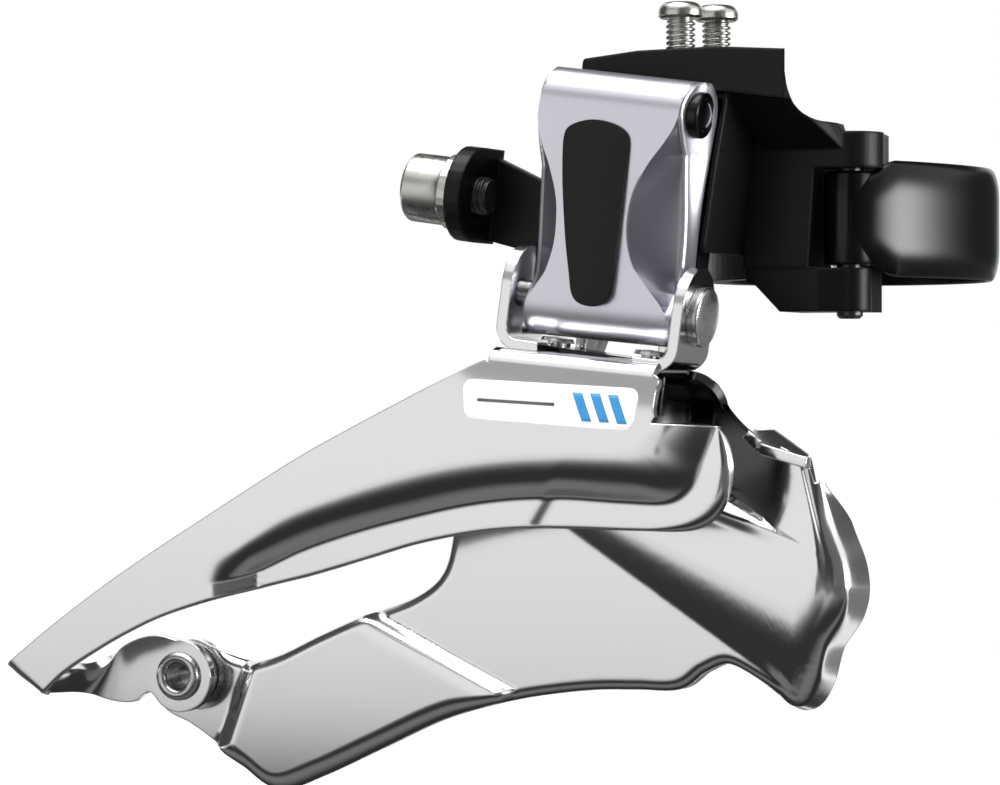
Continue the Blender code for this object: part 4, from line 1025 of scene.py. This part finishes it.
onPlate("cageLabel", rounded(label["corners"], 6), label["lift"], labelWhite)
for index, barTop in enumerate(label["barTops"]):
    top, foot = Vector(barTop), Vector(barTop) + label["barRun"]
    bar = [top, top + label["barStep"], foot + label["barStep"], foot]
    onPlate("cageLabelBar" + str(index + 1), bar, label["inkLift"], labelBlue)
onPlate("cageLabelLine", label["line"], label["inkLift"], labelGrey)
print("label made")

# clamp band: a crowned strap from the hinge eye round the seat tube to its lug
clampBand = {
    "tube": 17.45,
    "thickness": 1.6,
    "halfHeight": 7.5,
    "eyeHalfHeight": 6.0,
    "growth": (2.0, 4.5),
    "hinge": (6.6, -21.6),
    "eyeRadius": 3.3,
    "pin": 2.0,
    "eyeTurn": 20.0,
    "pulls": (5.0, 7.0),
    "crown": 1.2,
    "crownRun": 4.2,
    "lugAngle": 118.0,
    "lugLead": 4.5,
    "lug": [(17.6, -7.2, 0), (30.0, -6.0, 4.0), (30.0, 6.0, 4.0), (17.6, 7.2, 0)],
    "lugSpan": (0.9, 3.1),
    "boltPlace": (25.3, 0.0),
    "boltHole": 3.1,
}


# the strap's inside from the eye, round the tube, to the lug, each place with its way out
def bandPath():
    away = math.radians(clampBand["eyeTurn"])
    way = Vector((math.sin(away), -math.cos(away)))
    first = Vector(clampBand["hinge"]) + way * (clampBand["eyeRadius"] - clampBand["thickness"])
    last = Vector((clampBand["tube"], 0))
    near = first + Vector((-way.y, way.x)) * clampBand["pulls"][0]
    far = Vector((clampBand["tube"], -clampBand["pulls"][1]))
    path = []
    for step in range(60):
        t = step / 60
        place = first * (1 - t) ** 3 + near * (3 * t * (1 - t) ** 2) + far * (3 * t * t * (1 - t))
        place += last * t**3
        run = (near - first) * (1 - t) ** 2 + (far - near) * (2 * t * (1 - t)) + (last - far) * t * t
        path.append((place, Vector((run.y, -run.x)).normalized()))
    end = math.radians(clampBand["lugAngle"] - clampBand["lugLead"])
    for step in range(121):
        out = Vector((math.cos(end * step / 120), math.sin(end * step / 120)))
        path.append((out * clampBand["tube"], out))
    return path


def bandStrap():
    path = bandPath()
    eyeHalf, crownRun = clampBand["eyeHalfHeight"], clampBand["crownRun"]
    start, run = clampBand["growth"]
    sections = []
    walked = 0.0
    for index, (inside, out) in enumerate(path):
        if index:
            walked += (inside - path[index - 1][0]).length
        half = eyeHalf + (clampBand["halfHeight"] - eyeHalf) * ease((walked - start) / run)
        section = []
        for step in range(33):
            z = half * math.sin(math.pi / 2 * (-1 + 2 * step / 32))
            over = max(abs(z) - (half - crownRun), 0.0) / crownRun
            fall = clampBand["crown"] * (1 - math.sqrt(max(1 - over * over, 0.0)))
            section.append((clampBand["thickness"] - fall, z))
        section += [(0.0, half - 0.1), (0.0, -half + 0.1)]
        sections.append([Vector((inside.x + out.x * r, inside.y + out.y * r, z)) for r, z in section])
    mesh = skinMesh("clampBandStrap", sections)
    piece("clampBandStrap", mesh, "band", blackGloss, ["clamp_band"], 50)


def bandEnds():
    hinge, half = clampBand["hinge"], clampBand["eyeHalfHeight"]
    eyeLoops = [ring(hinge, clampBand["eyeRadius"] - 0.02, 64), ring(hinge, clampBand["pin"], 48)]
    eyeMesh = slab("clampBandEye", eyeLoops, -half, half, Matrix(), 0.4)
    piece("clampBandEye", eyeMesh, "band", blackGloss, (), 40)
    turn = math.radians(clampBand["lugAngle"])
    out, side = (math.cos(turn), math.sin(turn), 0), (math.sin(turn), -math.cos(turn), 0)
    lugFrame = Matrix((out, (0, 0, 1), side)).transposed().to_4x4()
    lugLoops = [rounded(clampBand["lug"]), ring(clampBand["boltPlace"], clampBand["boltHole"], 40)]
    lugMesh = slab("clampBandLug", lugLoops, *clampBand["lugSpan"], lugFrame, 0.3)
    piece("clampBandLug", lugMesh, "band", blackGloss, (), 40)


bandStrap()
bandEnds()
print("clamp band made")


# screw threads: one ridge that climbs round the shank
def threadMesh(name, radius, pitch, depth, low, high, place, around=40, perPitch=10):
    rows = []
    count = max(int((high - low) / pitch * perPitch), 2)
    for step in range(count + 1):
        z = low + (high - low) * step / count
        fade = max(min((z - low) / (0.6 * pitch), (high - z) / (0.6 * pitch), 1.0), 0.0)
        row = []
        for turnStep in range(around + 1):
            turn = 2 * math.pi * turnStep / around
            ridge = abs((z / pitch - turnStep / around) % 1.0 * 2 - 1)
            r = radius - depth * (1 - ease(ridge * 1.15)) * fade - depth * (1 - fade) * 0.9
            row.append(place @ Vector((r * math.cos(turn), r * math.sin(turn), z)))
        rows.append(row)
    return gridMesh(name, [rows])


# pan head limit screws with a cross recess
limitScrew = {
    "radius": 1.9,
    "pitch": 0.7,
    "depth": 0.4,
    "headRadius": 2.85,
    "headHeight": 2.1,
    "crown": 1.25,
    "cross": (1.6, 0.32),
    "crossDepth": 1.1,
}


def limitScrewMesh(name, place, tip, seat):
    spot = Matrix.Translation((*place, 0))
    radius, depth, pitch = limitScrew["radius"], limitScrew["depth"], limitScrew["pitch"]
    headRadius, crown = limitScrew["headRadius"], limitScrew["crown"]
    top = seat + limitScrew["headHeight"]
    head = [(0, seat), (headRadius - 0.3, seat), (headRadius, seat + 0.3), (headRadius, seat + 0.75)]
    head += arc((headRadius - crown, top - crown - 0.02), crown, 5, 80, 10) + [(0.9, top), (0, top)]
    tools = []
    for u, v in (limitScrew["cross"], limitScrew["cross"][::-1]):
        cross = [(-u, -v), (u, -v), (u, v), (-u, v)]
        tools.append(slab("cross", [cross], top - limitScrew["crossDepth"], top + 1, spot, 0.02))
    headMesh = cutMesh(lathe("head", head, spot), tools)
    core = [(0, tip), (radius - 0.6, tip), (radius - depth, tip + 0.4)]
    core += [(radius - depth - 0.02, seat), (0, seat + 0.2)]
    coreMesh = lathe("core", core, spot, 40)
    thread = threadMesh("thread", radius, pitch, depth, tip + 0.3, seat - 0.1, spot)
    return joinMeshes(name, [headMesh, coreMesh, thread], True)


screwMesh = limitScrewMesh("highLimitScrew", (-11.2, -35.6), 13.4, 25.2)
piece("highLimitScrew", screwMesh, "high_stop", zincSteel, ["high_limit_screw"], 40)
screwMesh = limitScrewMesh("lowLimitScrew", (-11.6, -22.2), 8.6, 26.1)
piece("lowLimitScrew", screwMesh, "low_stop", zincSteel, ["low_limit_screw"], 40)

# cable bolt: cylinder head with a hexagon socket, thread end through the arm
cableBolt = {
    "across": -9.2,
    "drop": -13.0,
    "armFront": -21.4,
    "underHead": 4.2,  # the arm, the washer and their gaps
    "headRadius": 4.5,
    "headHeight": 5.4,
    "headEdge": 0.6,
    "socket": 2.4,
    "socketDepth": 3.0,
    "radius": 2.5,
    "core": 2.1,
    "pitch": 0.8,
    "depth": 0.4,
}


def cableBoltPieces():
    frontFace, core = cableBolt["armFront"], cableBolt["core"]
    headRadius, edge = cableBolt["headRadius"], cableBolt["headEdge"]
    place = innerFrame @ Matrix.Translation((0, cableBolt["across"], cableBolt["drop"])) @ across
    seat = frontFace - cableBolt["underHead"]
    end = seat - cableBolt["headHeight"]
    head = [(0, end), (headRadius - edge, end)] + arc((headRadius - edge, end + edge), edge, -90, 0, 6)
    head += [(headRadius, seat - 0.25), (headRadius - 0.2, seat), (2.4, seat), (0, seat)]
    hexagon = ring((0, 0), cableBolt["socket"], 6)
    socket = slab("socket", [hexagon], end - 1, end + cableBolt["socketDepth"], place, 0.02)
    headMesh = cutMesh(lathe("cableBoltHead", head, place, 72), [socket])
    shank = [(0, seat - 0.2), (core, seat - 0.2), (core, frontFace + 1.5), (0, frontFace + 1.5)]
    sizes = (cableBolt["radius"], cableBolt["pitch"], cableBolt["depth"], seat + 0.1, frontFace + 1.7)
    shankMeshes = [lathe("shank", shank, place, 40), threadMesh("shankThread", *sizes, place)]
    boltMesh = joinMeshes("cableBoltThread", shankMeshes)
    piece("cableBoltThread", boltMesh, "cable_anchor", blackSteel, (), 40)
    piece("cableBolt", headMesh, "cable_anchor", zincSteel, ["cable_bolt"], 40)


cableBoltPieces()
print("screws made")

# return spring: one wire with a leg on the inner link and a leg in the bracket
returnSpring = {"radius": 3.4, "wire": 0.7, "pitch": 2.0, "turns": 3, "blend": (-4.0, 4.0)}


def springWire():
    r, pitch, turns = returnSpring["radius"], returnSpring["pitch"], returnSpring["turns"]
    route = [(2.0, r, -7.8), (0.0, r, -7.8), (-2.1, r, -7.8), (-2.75, r, -7.5)]
    route += [(-3.0, r, -6.8), (-3.0, r, -4.5), (-3.0, r, -2.2)]
    for step in range(turns * 16 + 1):
        turn = 2 * math.pi * step / 16
        route.append((-3.0 + pitch * step / 16, r * math.cos(turn), r * math.sin(turn)))
    route += [(3.0, r, 2.2), (3.0, r, 4.5), (3.0, r, 6.4)]
    curve = bpy.data.curves.new("returnSpringWire", "CURVE")
    curve.dimensions = "3D"
    curve.bevel_depth = returnSpring["wire"]
    curve.bevel_resolution = 4
    curve.use_fill_caps = True
    spline = curve.splines.new("POLY")
    spline.points.add(len(route) - 1)
    for point, place in zip(spline.points, route):
        point.co = (*(innerFrame @ Vector(place)), 1)
    mesh = meshFromCurve("holder", curve)
    made = piece("returnSpringWire", mesh, None, springSteel, ["return_spring"], 60)
    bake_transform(made)


springWire()

# cheek of the bracket that closes the linkage's right side, as an outline in y and z
cheek = {"low": 10.4, "high": 11.0}
cheekLoop = rounded([(4.2, 4.0, 0.5), (3.2, -6.0, 3.0), (2.9, -17.0, 1.2), (23.5, -17.0, 0), (23.5, 4.0, 0)])
cheekMesh = slab("bracketCheek", [cheekLoop], cheek["low"], cheek["high"], linkFrame @ across, 0.1)
piece("bracketCheek", cheekMesh, "bracket", blackCast)

# upper axle of the outer link: its head lies against the link's flank
pinProfile = [(0, -11.9), (1.3, -11.9), (1.6, -11.6), (1.6, 8.7), (2.95, 8.7)]
pinProfile += arc((2.6, 9.75), 0.35, 0, 90, 6) + [(2.1, 10.05), (1.9, 9.75), (0, 9.7)]
pinMesh = lathe("outerUpperAxle", pinProfile, linkFrame @ across)
piece("outerUpperAxle", pinMesh, "bracket", blackGloss, ["outer_upper_axle"])

# lower axle of the outer link: a headed rivet
axleProfile = [(0, -13.4), (1.9, -13.4), (2.2, -13.2), (2.2, -12.55), (1.6, -12.55), (1.6, 12.55)]
axleProfile += [(3.75, 12.55)] + arc((3.35, 13.5), 0.45, -20, 80, 8) + [(2.0, 14.1), (0, 14.15)]
axlePlace = linkFrame @ Matrix.Translation((0, 0, -linkage["length"])) @ across
axleMesh = lathe("outerLowerAxle", axleProfile, axlePlace)
piece("outerLowerAxle", axleMesh, "cage", platedSmall, ["outer_lower_axle"])

# finishes of the CAD nodes that are shown as they are
nodeFinish = {
    "main_bracket": blackCast,
    "hinge_pin": blackSteel,
    "clamp_nut": zincSteel,
    "clamp_washer": zincSteel,
    "clamp_bolt": blackSteel,
    "outer_upper_clip": blackSteel,
    "inner_upper_axle": blackSteel,
    "inner_upper_clip": blackSteel,
    "spring_bush": nylonBlack,
    "inner_link": blackCast,
    "cable_washer": zincSteel,
    "roof_rivet_rear": platedSmall,
    "roof_rivet_front": platedSmall,
    "tail_spacer": platedSmall,
    "inner_lower_axle": platedSmall,
}
for name, material in nodeFinish.items():
    dress(nodes[name].data, material, 35)
print("nodes finished:", len(nodeFinish))

# studio helpers
white = (1, 1, 1, 1)


def emptyTree(holder):
    holder.use_nodes = True
    holder.node_tree.nodes.clear()
    return holder.node_tree


def mathNode(tree, operation, first, second):
    return addNode(tree, "ShaderNodeMath", {"operation": operation}, {0: first, 1: second}).outputs[0]


# one where the eye or a reflection looks, nought where light falls
def seenPart(tree):
    path = addNode(tree, "ShaderNodeLightPath").outputs
    seen = mathNode(tree, "MAXIMUM", path["Is Camera Ray"], path["Is Glossy Ray"])
    return mathNode(tree, "MAXIMUM", seen, path["Is Transmission Ray"])


# a value that grows from nought to one with the distance from the object's middle
def spreadFrom(tree, start, end):
    spot = addNode(tree, "ShaderNodeTexCoord").outputs["Object"]
    away = addNode(tree, "ShaderNodeVectorMath", {"operation": "LENGTH"}, {0: spot})
    span = {"From Min": start, "From Max": end, "interpolation_type": "SMOOTHSTEP"}
    fade = addNode(tree, "ShaderNodeMapRange", span, {"Value": away.outputs["Value"]})
    return spot, fade.outputs["Result"]


# floor of white paper that fades to the white background
studio = {"floor": -92.0, "fade": (0.3, 0.55), "ambient": 0.5}
paper = bpy.data.materials.new("white studio paper")
tree = emptyTree(paper)
share = mathNode(tree, "MULTIPLY", spreadFrom(tree, *studio["fade"])[1], seenPart(tree))
matte = addNode(tree, "ShaderNodeBsdfDiffuse", {"Color": linear("f4f4f4")})
glow = addNode(tree, "ShaderNodeEmission", {"Color": white, "Strength": 1.0})
mix = addNode(tree, "ShaderNodeMixShader", {}, {0: share, 1: matte.outputs[0], 2: glow.outputs[0]})
addNode(tree, "ShaderNodeOutputMaterial", {}, {"Surface": mix.outputs[0]})
floorWork = bmesh.new()
bmesh.ops.create_circle(floorWork, cap_ends=True, segments=96, radius=4.0)
floorMesh = meshFromBm(floorWork, "studioFloor")
floorMesh.materials.append(paper)
floor = addObject("studioFloor", floorMesh)
floor.location = (-0.04, -0.02, studio["floor"] * mm)

# world: white to the eye and to reflections, gentler as light
scene.world = bpy.data.worlds.new("studio")
tree = emptyTree(scene.world)
seen = seenPart(tree)
dim = addNode(tree, "ShaderNodeBackground", {"Color": white, "Strength": studio["ambient"]})
bright = addNode(tree, "ShaderNodeBackground", {"Color": white, "Strength": 1.0})
mix = addNode(tree, "ShaderNodeMixShader", {}, {0: seen, 1: dim.outputs[0], 2: bright.outputs[0]})
addNode(tree, "ShaderNodeOutputWorld", {}, {"Surface": mix.outputs[0]})


def aimAt(made, target):
    way = Vector(target) - made.location
    made.rotation_euler = way.to_track_quat("-Z", "Y").to_euler()


# cards that stand round the object and show only in its reflections, fading to their edges where soft;
# a ramp gives a card's level along its height, from foot to top
def card(name, place, size, target, level, soft=0.0, ramp=()):
    work = bmesh.new()
    bmesh.ops.create_grid(work, x_segments=1, y_segments=1, size=0.5)
    mesh = meshFromBm(work, name)
    material = bpy.data.materials.new(name)
    tree = emptyTree(material)
    glow = addNode(tree, "ShaderNodeEmission", {"Color": white, "Strength": level})
    clear = addNode(tree, "ShaderNodeBsdfTransparent")
    spot, fade = spreadFrom(tree, 0.5 - 0.5 * soft, 0.5 if soft else 1.0)
    mix = addNode(tree, "ShaderNodeMixShader", {}, {0: fade, 1: glow.outputs[0], 2: clear.outputs[0]})
    addNode(tree, "ShaderNodeOutputMaterial", {}, {"Surface": mix.outputs[0] if soft else glow.outputs[0]})
    if ramp:
        parts = addNode(tree, "ShaderNodeSeparateXYZ", {}, {0: spot})
        span = {"From Min": -0.5, "From Max": 0.5}
        height = addNode(tree, "ShaderNodeMapRange", span, {"Value": parts.outputs["Y"]})
        levels = addNode(tree, "ShaderNodeValToRGB", {}, {"Fac": height.outputs["Result"]})
        stops = levels.color_ramp.elements
        while len(stops) < len(ramp):
            stops.new(0.5)
        for stop, (position, value) in zip(stops, ramp):
            stop.position = position
            stop.color = (value, value, value, 1)
        tree.links.new(levels.outputs["Color"], glow.inputs["Color"])
    mesh.materials.append(material)
    made = addObject(name, mesh)
    made.location = place
    made.scale = (*size, 1)
    aimAt(made, target)
    made.visible_camera = False
    made.visible_diffuse = False
    made.visible_shadow = False
    made.visible_transmission = False


middle = (-0.04, -0.03, -0.02)


def around(azimuth, pitch, distance):
    turn, lift = math.radians(azimuth), math.radians(pitch)
    way = (math.sin(turn) * math.cos(lift), -math.cos(turn) * math.cos(lift), math.sin(lift))
    return tuple(start + distance * part for start, part in zip(middle, way))


tableRamp = [(0.0, 0.7), (0.2, 0.45), (0.36, 0.2), (0.5, 0.06), (0.6, 0.03), (0.71, 0.03)]
tableRamp += [(0.76, 0.18), (0.8, 0.18), (0.85, 0.03)]
farTableRamp = [(0.0, 0.85), (0.6, 0.82), (0.83, 0.78), (0.88, 0.7), (1.0, 0.2)]
card("blackTableCard", (-0.05, -0.125, -0.088), (0.36, 0.27), (-0.05, -0.125, 1.0), 1.0, 0.0, tableRamp)
card("greyTableCard", (-0.2, -0.6, -0.0895), (1.6, 0.9), (-0.2, -0.6, 1.0), 1.0, 0.0, farTableRamp)
card("darkRightTableCard", (0.47, -0.4, -0.0883), (0.9, 0.8), (0.47, -0.4, 1.0), 0.12)
card("paleFrontCard", around(-26, 0, 1.0), (0.95, 0.5), middle, 0.92)
card("greyBrowCard", around(-26, 24, 0.95), (1.0, 0.34), middle, 0.42)
card("darkLeftCard", around(-84, 14, 1.0), (1.2, 1.15), middle, 0.06)
card("blackCameraCard", around(26, 10, 0.9), (0.62, 1.15), middle, 0.04, 0.3)
card("darkRightCard", around(57, 14, 0.95), (0.7, 1.2), middle, 0.14, 0.15)
card("rightGlowCard", around(98, 2, 0.8), (0.74, 0.4), middle, 20.0, 1.0)
card("darkBackCard", around(150, 5, 1.1), (1.15, 0.8), middle, 0.1, 0.3)
card("darkLoftCard", around(176, 50, 1.0), (1.4, 0.9), middle, 0.05)
card("greyRearTableCard", (0.1, 0.47, -0.0885), (1.2, 0.9), (0.1, 0.47, 1.0), 0.2)


def softbox(name, place, size, power, glossy=True):
    lamp = bpy.data.lights.new(name, "AREA")
    lamp.shape = "RECTANGLE"
    lamp.size, lamp.size_y = size
    lamp.energy = power
    made = addObject(name, lamp)
    made.location = place
    aimAt(made, middle)
    made.visible_camera = False
    made.visible_glossy = glossy


softbox("topSoftbox", (-0.1, -0.2, 0.9), (0.9, 0.7), 9.0)
softbox("leftSoftbox", (-0.7, -0.7, 0.35), (0.6, 0.6), 4.0, False)
softbox("rightSoftbox", (0.75, 0.05, 0.1), (0.4, 0.42), 4.0, False)

# camera at the photo's angle
shot = {"azimuth": 25.0, "lens": 129.6, "place": (161.7, -460.8, -22.4)}
camera = bpy.data.cameras.new("shotCamera")
camera.lens = shot["lens"]
camera.sensor_width = 36.0
camera.sensor_fit = "HORIZONTAL"
scene.camera = addObject("shotCamera", camera)
scene.camera.location = Vector(shot["place"]) * mm
scene.camera.rotation_euler = (math.radians(90), 0, math.radians(shot["azimuth"]))
print("studio set")
